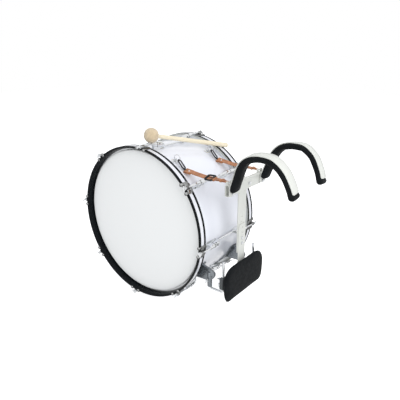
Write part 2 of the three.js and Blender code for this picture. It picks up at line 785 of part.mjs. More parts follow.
// Drum bracket: a saddle on the shell, a web and the sleeve that sits down on the hook rod
function onShell(angle, radius) {
  return [-radius * Math.sin(angle * degree), radius * Math.cos(angle * degree)];
}

function bracket() {
  const inner = shellRadius + gap;
  const angles = Array.from({ length: saddleSteps + 1 }, (_, k) =>
    bracketStartAngle + ((bracketEndAngle - bracketStartAngle) * k) / saddleSteps);
  const saddle = sideOutline([
    ...angles.map((angle) => onShell(angle, inner)),
    ...angles.map((angle) => onShell(angle, inner + bracketThickness)).reverse()], bracketWidth);
  const root = inner + bracketThickness - bite;
  const sleeveLow = sleeveTop - sleeveLength;
  const web = sideOutline([
    ...angles.map((angle) => onShell(angle, root)).reverse(), [sleeveY, sleeveTop],
    [sleeveY, sleeveLow + sleeveDiameter / 2]], bracketWebThickness);
  const sleeve = rod('z', sleeveLow, sleeveTop, sleeveDiameter / 2, roundSides);
  const bore = rod('z', sleeveLow - overrun, sleeveTop + overrun, hookRodRadius + gap, roundSides);
  return [saddle, web, shifted(sleeve, 0, sleeveY, 0), shifted(bore, 0, sleeveY, 0)];
}

for (const [sideName, side] of sides) {
  const place = new THREE.Group();
  place.position.x = side * hookSpread;
  drum.add(place);
  const [saddle, web, sleeve, bore] = bracket();
  const reach = side * sleeveDiameter;
  const screwBore = shifted(
    rod('x', Math.min(0, reach), Math.max(0, reach), screwHole, boreSides),
    0, sleeveY, bellyLevel - bracketScrewDrop);
  piece(`${sideName}_drum_bracket`, cut(joined(saddle, web, sleeve), bore, screwBore), chrome, place);
  piece(`${sideName}_hook_rod`, hookRod(), chrome, place);
  const bracketScrew = wingScrew(sleeveDiameter / 2 - hookRodRadius + screwNeck, bracketScrewTurn);
  const screwPlace = piece(`${sideName}_bracket_screw`, bracketScrew, chrome, place);
  screwPlace.position.set(side * (hookRodRadius + gap), sleeveY, bellyLevel - bracketScrewDrop);
  screwPlace.rotation.z = side > 0 ? 0 : Math.PI;
  piece(`${sideName}_clamp`, clampBlock(), blackPlastic, place).position.z = bellyLevel - clampDrop;
  screwHeights.forEach((z, k) => {
    const screw = wingScrew(clampRear - clampTip + screwNeck, clampScrewTurns[k]);
    const spot = piece(`${sideName}_clamp_screw_${k + 1}`, screw, chrome, place);
    spot.position.set(0, clampTip, bellyLevel - clampDrop + z);
    spot.rotation.z = Math.PI / 2;
  });
}

// Shoulder arms: a bent metal strip on the outside and a thick pad inside it
const armLine = armShares.map(([back, up]) =>
  [stripInner - back * armDepth, armFootHeight + up * armHeight]);

function strip() {
  const line = smooth(armLine, stripSteps, 0, stripEndShare);
  const body = sideOutline(band(line, 0, stripThickness), stripWidth);
  return cut(body, boltHole(0, stripInner - stripThickness, stripInner, armBoltHeight));
}

// The pad's section: [across, depth] with rounded edges, a crown inside and sides drawn in
function padSection(scale) {
  const half = padWidth / 2;
  const deep = padThickness;
  const points = [
    [-half + padDrawIn, 0], [0, 0], [half - padDrawIn, 0], [half, deep / 4],
    [half - padDrawIn / 2, deep / 2], [half - padDrawIn, deep - padCrown - padDrawIn],
    [half - 3 * padDrawIn, deep - padCrown], [half / 2, deep - padCrown / 3], [0, deep],
    [-half / 2, deep - padCrown / 3],
    [-half + 3 * padDrawIn, deep - padCrown], [-half + padDrawIn, deep - padCrown - padDrawIn],
    [-half + padDrawIn / 2, deep / 2], [-half, deep / 4]];
  return points.map(([across, depth]) => [across * scale, deep / 2 + (depth - deep / 2) * scale]);
}

function shoulderPad() {
  const line = smooth(armLine, padRings, padStartShare, 1);
  const rings = line.map(([y, z], k) => {
    const before = line[Math.max(k - 1, 0)];
    const after = line[Math.min(k + 1, line.length - 1)];
    const along = new THREE.Vector2(after[0] - before[0], after[1] - before[1]).normalize();
    const inward = [-along.y, along.x];
    const fromEnd = Math.min(k, line.length - 1 - k);
    return padSection(padEndShares[fromEnd] ?? 1).map(([across, depth]) => {
      const offset = depth + stripThickness + gap;
      return new THREE.Vector3(across, y + inward[0] * offset, z + inward[1] * offset);
    });
  });
  return lofted(rings);
}

for (const [sideName, side] of sides) {
  const arm = new THREE.Group();
  arm.position.set(side * strapSpread, 0, armBoltHeight);
  arm.rotation.y = side * armLean * degree;
  carrier.add(arm);
  piece(`${sideName}_shoulder_strip`, strip(), creamPaint, arm).position.z = -armBoltHeight;
  piece(`${sideName}_shoulder_pad`, shoulderPad(), blackFoam, arm).position.z = -armBoltHeight;
  const fixing = bolt(stripInner - stripThickness - gap, crossbarFront + crossbarWall + boltDiameter);
  piece(`${sideName}_arm_bolt`, fixing, chrome, carrier).position.set(side * strapSpread, 0, armBoltHeight);
}

// Mallet: its head on the near upper lug and its shaft across the far hoop
const headRadius = malletHeadDiameter / 2;
const neckRadius = malletNeckDiameter / 2;
const buttRadius = malletButtDiameter / 2;
const headStandoff = lugTop + headRadius + gap;
const headSeat = new THREE.Vector3(-lugOuter - malletBeyondLug, ...onShell(stationTurn, headStandoff));
const shaftSeat = new THREE.Vector3(hoopFront, ...onShell(malletRestAngle, hoopRadius + buttRadius + gap));
const malletRun = shaftSeat.clone().sub(headSeat).normalize();
const mallet = new THREE.Group();
mallet.position.copy(headSeat);
mallet.quaternion.setFromUnitVectors(new THREE.Vector3(1, 0, 0), malletRun);
drum.add(mallet);

const headLength = malletHeadLength / headRadius / 2;
const ball = new THREE.SphereGeometry(headRadius, linkSteps, boreSides).rotateZ(Math.PI / 2);
ball.scale(headLength, 1, 1);
const socket = rod('x', malletHeadLength / 2 - malletSocket, malletHeadLength, neckRadius, roundSides);
piece('mallet_head', cut(ball, socket), creamFelt, mallet);
const shaftStart = malletHeadLength / 2 - malletSocket + gap;
const shaftEnd = malletLength - malletHeadLength / 2;
const plug = rod('x', shaftStart, malletHeadLength / 2 + bite, neckRadius - gap, roundSides);
const shaftLength = shaftEnd - malletHeadLength / 2 - gap;
const grip = new THREE.CylinderGeometry(buttRadius, neckRadius, shaftLength, roundSides);
const shaft = joined(plug, grip.rotateZ(-Math.PI / 2).translate(shaftEnd - shaftLength / 2, 0, 0));
piece('mallet_shaft', shaft, paleWood, mallet);

// The origin is on the floor below the middle of the whole object
drum.updateMatrixWorld(true);
const bounds = new THREE.Box3().setFromObject(drum, true);
const middle = bounds.getCenter(new THREE.Vector3());
drum.position.set(-middle.x, -middle.y, -bounds.min.z);

export default drum;
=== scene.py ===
"""Looks of a marching bass drum on its shoulder carrier, with a felt mallet lying across its top.

All sizes are in metres. The drum's axis runs along X, the player stands on the -Y side and Z points up.
Pieces are drawn in the drum's own frame, whose origin is the middle of the drum, and then moved onto the CAD.
"""
import math

import bmesh
import bpy
from bpy.props import FloatProperty, FloatVectorProperty, PointerProperty
from bpy.types import Operator, Panel, PropertyGroup
from mathutils import Matrix, Vector, noise
from mathutils.geometry import tessellate_polygon


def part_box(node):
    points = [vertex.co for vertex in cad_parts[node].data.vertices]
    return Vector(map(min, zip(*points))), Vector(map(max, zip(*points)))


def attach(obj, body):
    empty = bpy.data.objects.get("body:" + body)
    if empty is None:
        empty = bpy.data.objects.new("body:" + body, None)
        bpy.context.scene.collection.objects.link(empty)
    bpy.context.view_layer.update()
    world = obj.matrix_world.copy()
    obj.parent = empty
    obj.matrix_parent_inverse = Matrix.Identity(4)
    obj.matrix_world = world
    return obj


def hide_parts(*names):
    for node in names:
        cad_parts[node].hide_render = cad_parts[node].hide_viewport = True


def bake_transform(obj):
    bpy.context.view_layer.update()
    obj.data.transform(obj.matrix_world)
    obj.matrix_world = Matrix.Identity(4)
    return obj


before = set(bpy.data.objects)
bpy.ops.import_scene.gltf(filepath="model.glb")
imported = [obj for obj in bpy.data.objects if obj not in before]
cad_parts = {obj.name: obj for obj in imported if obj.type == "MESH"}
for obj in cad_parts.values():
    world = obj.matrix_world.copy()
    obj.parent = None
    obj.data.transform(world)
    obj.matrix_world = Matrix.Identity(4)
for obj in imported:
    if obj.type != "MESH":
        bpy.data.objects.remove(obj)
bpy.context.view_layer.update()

bl_info = {
    "name": "Marching Bass Drum",
    "version": (1, 0, 0),
    "blender": (4, 5, 0),
    "location": "View3D > Sidebar > Drum",
    "description": "Builds a marching bass drum, its shoulder carrier and its mallet",
    "category": "Add Mesh",
}

MM = 0.001
DRUM_CENTRE = sum(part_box("near_head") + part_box("far_head"), Vector()) / 4
SIDES = (("near", -1), ("far", 1))
STATIONS = 8
STATION_TURN = math.radians(6.4)
HANDLE_TURNS = (36, -28, 40, 33, -24, 38, -40, 30)
WELD_GAP = 1e-6
BEVEL_ANGLE = math.radians(30)

# How the cover of a pad swells: most that a point moves, grid of its mesh, pressure, frames, and smoothing
SHOULDER_SWELL, BELLY_SWELL = 1.6 * MM, 2.2 * MM
PAD_VOXEL = 4.5 * MM
PAD_PRESSURE = 4
PAD_FRAMES = 20
RELAX_BEFORE, RELAX_AFTER = 6, 3

# Lines of the strap and the shoulder arm beside the player, as (y, z) in millimetres
STRAP_LINE = (
    (-174.9, 224.9), (-198, 222.8), (-221, 220.1), (-244, 217.5), (-267.1, 215.5), (-290.2, 215.7),
    (-313.4, 216.5), (-336.5, 217), (-359.7, 216.9),
)
ARM_LINE = (
    (-374.3, 171.9), (-374.3, 187.8), (-377.1, 205.3), (-390.6, 245.1), (-404.6, 281.7), (-420.9, 305.5),
    (-444.9, 323), (-472.2, 330.9), (-500.1, 332.5), (-528.1, 328.6), (-553.7, 313.5), (-575.1, 291.2),
    (-591, 262.6), (-602.2, 235.5), (-607.3, 211.7),
)


def length(name, description, default):
    """A size property in metres, with its default given in millimetres."""
    return FloatProperty(name=name, description=description, default=default * MM, unit="LENGTH", precision=4)


def colour(name, description, default):
    """A colour property, as linear red, green and blue."""
    return FloatVectorProperty(name=name, description=description, subtype="COLOR", size=3, default=default)


def share(name, description, default):
    """A share from nothing to all."""
    return FloatProperty(name=name, description=description, default=default, min=0, max=1, subtype="FACTOR")


def angle(name, description, degrees):
    """An angle property, with its default given in degrees."""
    return FloatProperty(name=name, description=description, default=math.radians(degrees), subtype="ANGLE")


def power(name, description, watts):
    """The power of a lamp."""
    return FloatProperty(name=name, description=description, default=watts, min=0, unit="POWER")


class DrumSizes(PropertyGroup):
    """Sizes of the drum itself."""

    shell_radius: length("Shell radius", "Outer radius of the wrapped shell", 279.5)
    shell_half: length("Shell half length", "From the drum's middle to the shell's edge", 149)
    shell_wall: length("Shell wall", "Thickness of the shell", 7)
    head_face: length("Head plane", "From the drum's middle to the outer face of a head", 150.5)
    hoop_radius: length("Hoop radius", "Outer radius of a counterhoop", 298)
    hoop_bore: length("Hoop bore", "Inner radius of a counterhoop around the flesh hoop", 291.6)
    hoop_lip: length("Hoop lip", "Inner radius of a counterhoop in front of the head", 287)
    hoop_front: length("Hoop front", "From the drum's middle to a counterhoop's front face", 172.5)
    hoop_back: length("Hoop back", "From the drum's middle to a counterhoop's rear edge", 136.5)
    front_band: length("Front band", "Width of the dark band along a hoop's front edge", 10)
    rear_band: length("Rear band", "Width of the dark band along a hoop's rear edge", 10.5)
    rod_circle: length("Rod circle", "Radius at which the tension rods stand", 305)
    rod_diameter: length("Rod diameter", "Thickness of a tension rod", 6)
    handle_length: length("Handle length", "Length of a tension rod's cross handle", 20)
    handle_diameter: length("Handle diameter", "Thickness of a tension rod's cross handle", 7)
    lug_outer: length("Lug end", "From the drum's middle to a lug's outer end", 118)
    lug_length: length("Lug length", "Length of a lug along the shell", 70)
    lug_tube: length("Lug tube", "Thickness of the tube between two lugs", 6)
    lug_tube_radius: length("Lug tube radius", "Radius at which the tubes between lugs stand", 286)
    claw_spacing: length("Claw spacing", "Distance between a claw's two prongs", 35)
    prong_width: length("Prong width", "Width of one prong of a claw", 10.5)


class CarrierSizes(PropertyGroup):
    """Sizes of the shoulder carrier, its straps and the belly pad."""

    strap_spread: length("Strap spread", "From the drum's middle to each strap and arm", 97)
    strap_width: length("Strap width", "Width of a leather strap", 19)
    strap_roll: FloatProperty(name="Strap roll", description="How far a strap rolls over, in degrees", default=22)
    strap_thickness: length("Strap thickness", "Thickness of one ply of leather", 2.2)
    strip_width: length("Arm width", "Width of a shoulder arm's metal strip", 39)
    strip_thickness: length("Arm thickness", "Thickness of a shoulder arm's metal strip", 4)
    pad_width: length("Shoulder pad width", "Width of a shoulder pad", 50)
    pad_thickness: length("Shoulder pad thickness", "Thickness of a shoulder pad", 20)
    belly_pad_width: length("Belly pad width", "Width of the belly pad", 272)
    belly_pad_height: length("Belly pad height", "Height of the belly pad", 148)
    belly_pad_thickness: length("Belly pad thickness", "Thickness of the belly pad", 16.7)
    hook_spread: length("Hook rod spread", "From the drum's middle to each hook rod", 101)
    hook_rod_diameter: length("Hook rod diameter", "Thickness of a hook rod", 9.5)
    mallet_head: length("Mallet head", "Diameter of the mallet's felt head", 55)
    mallet_neck: length("Mallet neck", "Thickness of the mallet's shaft beside its head", 15)
    mallet_butt: length("Mallet butt", "Thickness of the mallet's shaft at its other end", 18.5)


class FinishColours(PropertyGroup):
    """Colours of the finishes."""

    wrap: colour("Wrap", "White gloss wrap of the shell", (0.85, 0.865, 0.93))
    film: colour("Head film", "Off-white film of the heads", (0.76, 0.77, 0.75))
    lacquer: colour("Dark lacquer", "Dark lacquer of the hoops", (0.0035, 0.0045, 0.0055))
    band: colour("White band", "White band around the hoops", (0.80, 0.81, 0.86))
    bare: colour("Bare edge", "Pale unlacquered rear edge of the hoops", (0.60, 0.62, 0.58))
    chrome: colour("Chrome", "Chrome of the hardware", (0.74, 0.75, 0.75))
    aluminium: colour("Aluminium", "Plain aluminium inside the hoops", (0.45, 0.46, 0.48))
    zinc: colour("Zinc", "Dull plated steel of the bracket and its post", (0.36, 0.39, 0.42))
    dark_steel: colour("Dark steel", "Black painted steel of hooks and buckles", (0.006, 0.0065, 0.008))
    paint: colour("Carrier paint", "Cream-white paint of the carrier", (0.68, 0.69, 0.65))
    plastic: colour("Black plastic", "Moulded plastic of the clamps", (0.008, 0.0085, 0.0095))
    foam: colour("Pad skin", "Black skin of the pads", (0.0065, 0.0075, 0.0085))
    leather: colour("Leather", "Tan leather of the straps", (0.43, 0.178, 0.08))
    wood: colour("Pale wood", "Varnished wood of the mallet's shaft", (0.47, 0.31, 0.125))
    felt: colour("Felt", "Cream felt of the mallet's head", (0.66, 0.53, 0.35))
    floor: colour("Floor", "Plain pale floor", (0.95, 0.95, 0.95))


class StageSettings(PropertyGroup):
    """Camera and light."""

    azimuth: angle("Azimuth", "Direction of the camera around the drum", -47.68)
    elevation: angle("Elevation", "Height angle of the camera", 21)
    distance: length("Distance", "From the drum's middle to the camera", 1788)
    turn: angle("Turn", "Turn of the camera to the right", 4.244)
    tilt: angle("Tilt", "Tilt of the camera upwards", 1.327)
    roll: angle("Roll", "Roll of the camera", -1.65)
    lens: FloatProperty(
        name="Lens", description="Focal length on a 36 mm sensor", default=39.18, unit="CAMERA")
    floor_glow: share("Floor glow", "How far the camera sees the floor as plain white", 0.72)
    room_light: share("Room light", "Strength of the even light", 0.66)
    key_light: power("Key light", "Power of the main lamp", 24)
    fill_light: power("Fill light", "Power of the fill lamp", 7)
    top_light: power("Top light", "Power of the top lamp", 7)


# Forms: plain lists of points and faces, joined and moved before they become meshes

class Form:
    """Points and faces, each face with the number of its finish."""

    def __init__(self, points=(), faces=()):
        self.points = [Vector(p) for p in points]
        self.faces = [tuple(f) for f in faces]
        self.marks = [0] * len(self.faces)

    def add(self, other, matrix=None):
        """Takes in another form, moved by a matrix."""
        base = len(self.points)
        self.points += [matrix @ p if matrix else p.copy() for p in other.points]
        self.faces += [tuple(i + base for i in f) for f in other.faces]
        self.marks += other.marks
        return self

    def moved(self, matrix):
        """A copy of the form, moved by a matrix."""
        return Form().add(self, matrix)

    def mapped(self, rule):
        """The same form with each point put through a rule."""
        copy = Form().add(self)
        copy.points = [Vector(rule(p)) for p in copy.points]
        return copy


def shift(x=0.0, y=0.0, z=0.0):
    """A matrix that moves."""
    return Matrix.Translation((x, y, z))


def turn(degrees, axis):
    """A matrix that turns about an axis through the origin."""
    return Matrix.Rotation(math.radians(degrees), 4, axis)


def skin(rings, closed=False, caps=True):
    """Faces between rings of equally many points; rings of one point close to a tip."""
    count = max(len(ring) for ring in rings)
    points, starts = [], []
    for ring in rings:
        starts.append(len(points))
        points += ring
    faces = []
    pairs = list(zip(range(len(rings)), range(1, len(rings))))
    if closed:
        pairs.append((len(rings) - 1, 0))
    for a, b in pairs:
        for j in range(count):
            k = (j + 1) % count
            low = [starts[a] + j, starts[a] + k] if len(rings[a]) > 1 else [starts[a]]
            high = [starts[b] + k, starts[b] + j] if len(rings[b]) > 1 else [starts[b]]
            faces.append(low + high)
    if caps and not closed:
        if len(rings[0]) > 1:
            faces.append([starts[0] + j for j in reversed(range(count))])
        if len(rings[-1]) > 1:
            faces.append([starts[-1] + j for j in range(count)])
    return Form(points, faces)


def lathe(profile, steps=192, marks=None, closed=True):
    """Turns a profile of (x, radius) about the X axis. A radius of zero ends on the axis."""
    def ring(x, radius):
        if radius == 0:
            return [Vector((x, 0, 0))]
        return [
            Vector((x, -radius * math.sin(2 * math.pi * j / steps), radius * math.cos(2 * math.pi * j / steps)))
            for j in range(steps)]
    rings = [ring(x, radius) for x, radius in profile]
    form = skin(rings, closed=closed, caps=False)
    if marks:
        form.marks = [marks[k // steps] for k in range(len(form.faces))]
    return form


def cylinder(low, high, radius, steps):
    """A plain round bar along X."""
    return lathe([(low, 0), (low, radius), (high, radius), (high, 0)], steps, closed=False)


def slab(outline, low, high):
    """A solid between two planes across X, from an outline of (y, z)."""
    return skin([[Vector((x, y, z)) for y, z in outline] for x in (low, high)])


def block(low, high):
    """A box from its lowest to its highest corner."""
    corners = [(x, y, z) for x in (low[0], high[0]) for y in (low[1], high[1]) for z in (low[2], high[2])]
    faces = [(0, 1, 3, 2), (4, 6, 7, 5), (0, 4, 5, 1), (2, 3, 7, 6), (0, 2, 6, 4), (1, 5, 7, 3)]
    return Form(corners, faces)


def circle(radius, steps, start=0.0, end=2 * math.pi, centre=(0, 0)):
    """Points on a circle, without the last where it closes."""
    whole = abs(end - start - 2 * math.pi) < 1e-9
    count = steps if whole else steps + 1
    return [
        (centre[0] + radius * math.cos(start + (end - start) * k / steps),
         centre[1] + radius * math.sin(start + (end - start) * k / steps))
        for k in range(count)]


def rounded(width, height, corner, steps=6):
    """Outline of a rectangle with round corners, centred on the origin."""
    x, y = width / 2 - corner, height / 2 - corner
    points = []
    for cx, cy, quarter in ((x, y, 0), (-x, y, 1), (-x, -y, 2), (x, -y, 3)):
        start = quarter * math.pi / 2
        points += circle(corner, steps, start, start + math.pi / 2, (cx, cy))
    return points


def sheet_form(outline, thickness, holes=()):
    """A flat sheet of (u, v) outline with holes, from w = 0 to w = thickness."""
    loops = [list(outline), *[list(hole) for hole in holes]]
    flat = [Vector((u, v, 0)) for loop in loops for u, v in loop]
    triangles = tessellate_polygon([[Vector((u, v, 0)) for u, v in loop] for loop in loops])
    count = len(flat)
    points = flat + [p + Vector((0, 0, thickness)) for p in flat]
    faces = []
    for a, b, c in triangles:
        up = (flat[b] - flat[a]).cross(flat[c] - flat[a]).z > 0
        faces.append((a, c, b) if up else (a, b, c))
        faces.append((a + count, b + count, c + count) if up else (a + count, c + count, b + count))
    start = 0
    for loop in loops:
        size = len(loop)
        for j in range(size):
            a, b = start + j, start + (j + 1) % size
            faces.append((a, b, b + count, a + count))
        start += size
    return Form(points, faces)


def sweep(line, section, across, closed=False):
    """Moves a section of (side, out) points along a line that lies in a plane with the normal across.

    section is a list, or a rule that gives the list for a share of the way along.
    """
    across = Vector(across).normalized()
    rings = []
    last = len(line) - 1
    for k, point in enumerate(line):
        before = line[k - 1] if k or closed else line[k]
        after = line[(k + 1) % len(line)] if k < last or closed else line[k]
        along = (after - before).normalized()
        out = along.cross(across)
        points = section(k / last) if callable(section) else section
        rings.append([point + across * u + out * v for u, v in points])
    return skin(rings, closed=closed)


def evenly(points, steps, count):
    """The first of the evenly spaced points that cut a line of points into a number of steps."""
    reach = [0.0]
    for a, b in zip(points, points[1:]):
        reach.append(reach[-1] + (b - a).length)
    result, at = [], 0
    for k in range(count):
        goal = reach[-1] * k / steps
        while at < len(points) - 2 and reach[at + 1] < goal:
            at += 1
        span = reach[at + 1] - reach[at] or 1
        result.append(points[at].lerp(points[at + 1], (goal - reach[at]) / span))
    return result


def smooth_line(points, steps):
    """Evenly spaced points on a smooth curve through the given ones."""
    dense = []
    count = len(points)
    for k in range(count - 1):
        p0, p1, p2, p3 = (points[min(max(k + d, 0), count - 1)] for d in (-1, 0, 1, 2))
        for j in range(24):
            t = j / 24
            dense.append(0.5 * (
                2 * p1 + (p2 - p0) * t + (2 * p0 - 5 * p1 + 4 * p2 - p3) * t * t
                + (3 * p1 - p0 - 3 * p2 + p3) * t * t * t))
    dense.append(points[-1].copy())
    return evenly(dense, steps, steps + 1)


def side_line(points, x=0.0):
    """Vectors at one x from (y, z) pairs in millimetres."""
    return [Vector((x, y * MM, z * MM)) for y, z in points]


def on_drum(form, radius):
    """Bends a form that is drawn flat at a radius, so that its Y runs round the drum."""
    def rule(p):
        angle = p.y / radius
        return p.x, p.z * math.sin(angle), p.z * math.cos(angle)
    return form.mapped(rule)


def station(side, k):
    """Where a fitting sits: its X points out through the head and its Z away from the axis."""
    angle = STATION_TURN + 2 * math.pi * k / STATIONS
    matrix = Matrix.Rotation(angle, 4, "X")
    return matrix if side > 0 else matrix @ Matrix.Rotation(math.pi, 4, "Z")


def swollen(mesh, name, cap):
    """The mesh of a pad after its cover has swelled under pressure, no point moving further than the cap."""
    scene = bpy.context.scene
    soft = bpy.data.objects.new(name + "_soft", mesh)
    scene.collection.objects.link(soft)

    def taken():
        """The mesh as it is now, after which every modifier goes."""
        bpy.context.view_layer.update()
        result = bpy.data.meshes.new_from_object(soft.evaluated_get(bpy.context.evaluated_depsgraph_get()))
        soft.modifiers.clear()
        return result

    def relax(rounds):
        """Evens out the mesh a little."""
        modifier = soft.modifiers.new("Relax", "SMOOTH")
        modifier.factor, modifier.iterations = 0.5, rounds
    grid = soft.modifiers.new("Grid", "REMESH")
    grid.mode, grid.voxel_size = "VOXEL", PAD_VOXEL
    relax(RELAX_BEFORE)
    soft.data = even_mesh = taken()
    cloth = soft.modifiers.new("Cloth", "CLOTH").settings
    cloth.use_pressure = True
    cloth.uniform_pressure_force = PAD_PRESSURE
    cloth.effector_weights.gravity = 0
    for number in range(1, PAD_FRAMES + 1):
        scene.frame_set(number)
    filled = taken()
    scene.frame_set(1)
    for point, goal in zip(even_mesh.vertices, filled.vertices):
        move = goal.co - point.co
        if move.length > cap:
            move *= cap / move.length
        point.co += move
    relax(RELAX_AFTER)
    soft.modifiers.new("Smooth", "SUBSURF").levels = 1
    result = taken()
    bpy.data.objects.remove(soft)
    return result


def piece(name, form, finishes, body, replaces=(), bevel=0.0, sharp=38, swell=0.0):
    """Makes a mesh piece that rides on a body, and hides the CAD nodes that it stands for."""
    mesh = bpy.data.meshes.new(name)
    mesh.from_pydata([DRUM_CENTRE + p for p in form.points], [], form.faces)
    for finish_name in finishes:
        mesh.materials.append(finish(finish_name))
    mesh.polygons.foreach_set("material_index", form.marks)
    shape = bmesh.new()
    shape.from_mesh(mesh)
    bmesh.ops.remove_doubles(shape, verts=shape.verts, dist=WELD_GAP)
    bmesh.ops.recalc_face_normals(shape, faces=shape.faces)
    if bevel:
        edges = [e for e in shape.edges if len(e.link_faces) == 2 and e.calc_face_angle(0) > BEVEL_ANGLE]
        bmesh.ops.bevel(
            shape, geom=edges, offset=bevel, offset_type="OFFSET", segments=2, profile=0.5,
            affect="EDGES", clamp_overlap=True, material=-1)
    shape.to_mesh(mesh)
    shape.free()
    if swell:
        mesh = swollen(mesh, name, swell)
    mesh.shade_smooth()
    mesh.set_sharp_from_angle(angle=math.radians(sharp))
    thing = bpy.data.objects.new(name, mesh)
    bpy.context.scene.collection.objects.link(thing)
    if body:
        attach(thing, body)
    if replaces:
        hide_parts(*replaces)
    return thing


# Finishes: procedural materials, made when a piece first asks for one

class Nodes:
    """Builds the node tree of one finish."""

    def __init__(self, name, base, roughness, metallic, sockets):
        self.material = bpy.data.materials.new(name)
        self.material.use_nodes = True
        self.tree = self.material.node_tree
        self.shader = self.tree.nodes["Principled BSDF"].inputs
        values = {"Base Color": (*base, 1), "Roughness": roughness, "Metallic": metallic, **sockets}
        for socket, value in values.items():
            self.shader[socket].default_value = value
        self.material.diffuse_color = (*base, 1)
        self.place = self.tree.nodes.new("ShaderNodeTexCoord").outputs["Object"]
        self.height = None

    def link(self, a, b):
        self.tree.links.new(a, b)

    def node(self, kind, values=None, links=None, **settings):
        """A node with its settings, its input values and the sockets that feed its inputs."""
        node = self.tree.nodes.new("ShaderNode" + kind)
        for name, value in settings.items():
            setattr(node, name, value)
        for socket, value in (values or {}).items():
            node.inputs[socket].default_value = value
        for socket, source in (links or {}).items():
            self.link(source, node.inputs[socket])
        return node

    def noise(self, scale, detail=3, rough=0.5, stretch=None, distortion=0):
        """A cloudy value between nothing and one."""
        place = self.place
        if stretch:
            place = self.node("Mapping", {"Scale": stretch}, {"Vector": place}).outputs["Vector"]
        values = {"Scale": scale, "Detail": detail, "Roughness": rough, "Distortion": distortion}
        return self.node("TexNoise", values, {"Vector": place}).outputs["Fac"]

    def cells(self, scale, feature="SMOOTH_F1"):
        """A value that grows from the middle of each small cell."""
        node = self.node("TexVoronoi", {"Scale": scale}, {"Vector": self.place}, feature=feature)
        return node.outputs["Distance"]

    def spread(self, value, low, high, a, b):
        """Maps a value from low..high to the numbers a..b."""
        values = {"From Min": low, "From Max": high, "To Min": a, "To Max": b}
        return self.node("MapRange", values, {"Value": value}).outputs["Result"]

    def stops(self, value, levels):
        """Colours along a value, as (position, grey level or colour) pairs."""
        node = self.node("ValToRGB", None, {"Fac": value})
        points = node.color_ramp.elements
        points[0].position, points[1].position = levels[0][0], levels[-1][0]
        for position, _ in levels[1:-1]:
            points.new(position)
        for point, (_, level) in zip(points, levels):
            point.color = (*level, 1) if isinstance(level, tuple) else (level, level, level, 1)
        return node.outputs["Color"]

    def shifted(self, value, wave, amount):
        """A value moved up and down by a wave."""
        extra = self.spread(wave, 0.3, 0.7, -amount, amount)
        return self.node("Math", None, {0: value, 1: extra}, operation="ADD").outputs[0]

    def times(self, value, other):
        """A colour times another colour."""
        node = self.node("Mix", {0: 1}, {6: value}, data_type="RGBA", blend_type="MULTIPLY")
        if isinstance(other, tuple):
            node.inputs[7].default_value = (*other, 1)
        else:
            self.link(other, node.inputs[7])
        return node.outputs[2]

    def gloss(self, value, low, high, a, b):
        """Lets the roughness run from a to b as the value runs from low to high."""
        self.link(self.spread(value, low, high, a, b), self.shader["Roughness"])

    def bump(self, value, strength, distance):
        """Adds a bump on top of the earlier ones."""
        node = self.node("Bump", {"Strength": strength, "Distance": distance}, {"Height": value})
        if self.height:
            self.link(self.height, node.inputs["Normal"])
        self.height = node.outputs["Normal"]
        self.link(self.height, self.shader["Normal"])


def shade(base, factor):
    """A colour made darker or lighter."""
    return tuple(min(1.0, c * factor) for c in base)


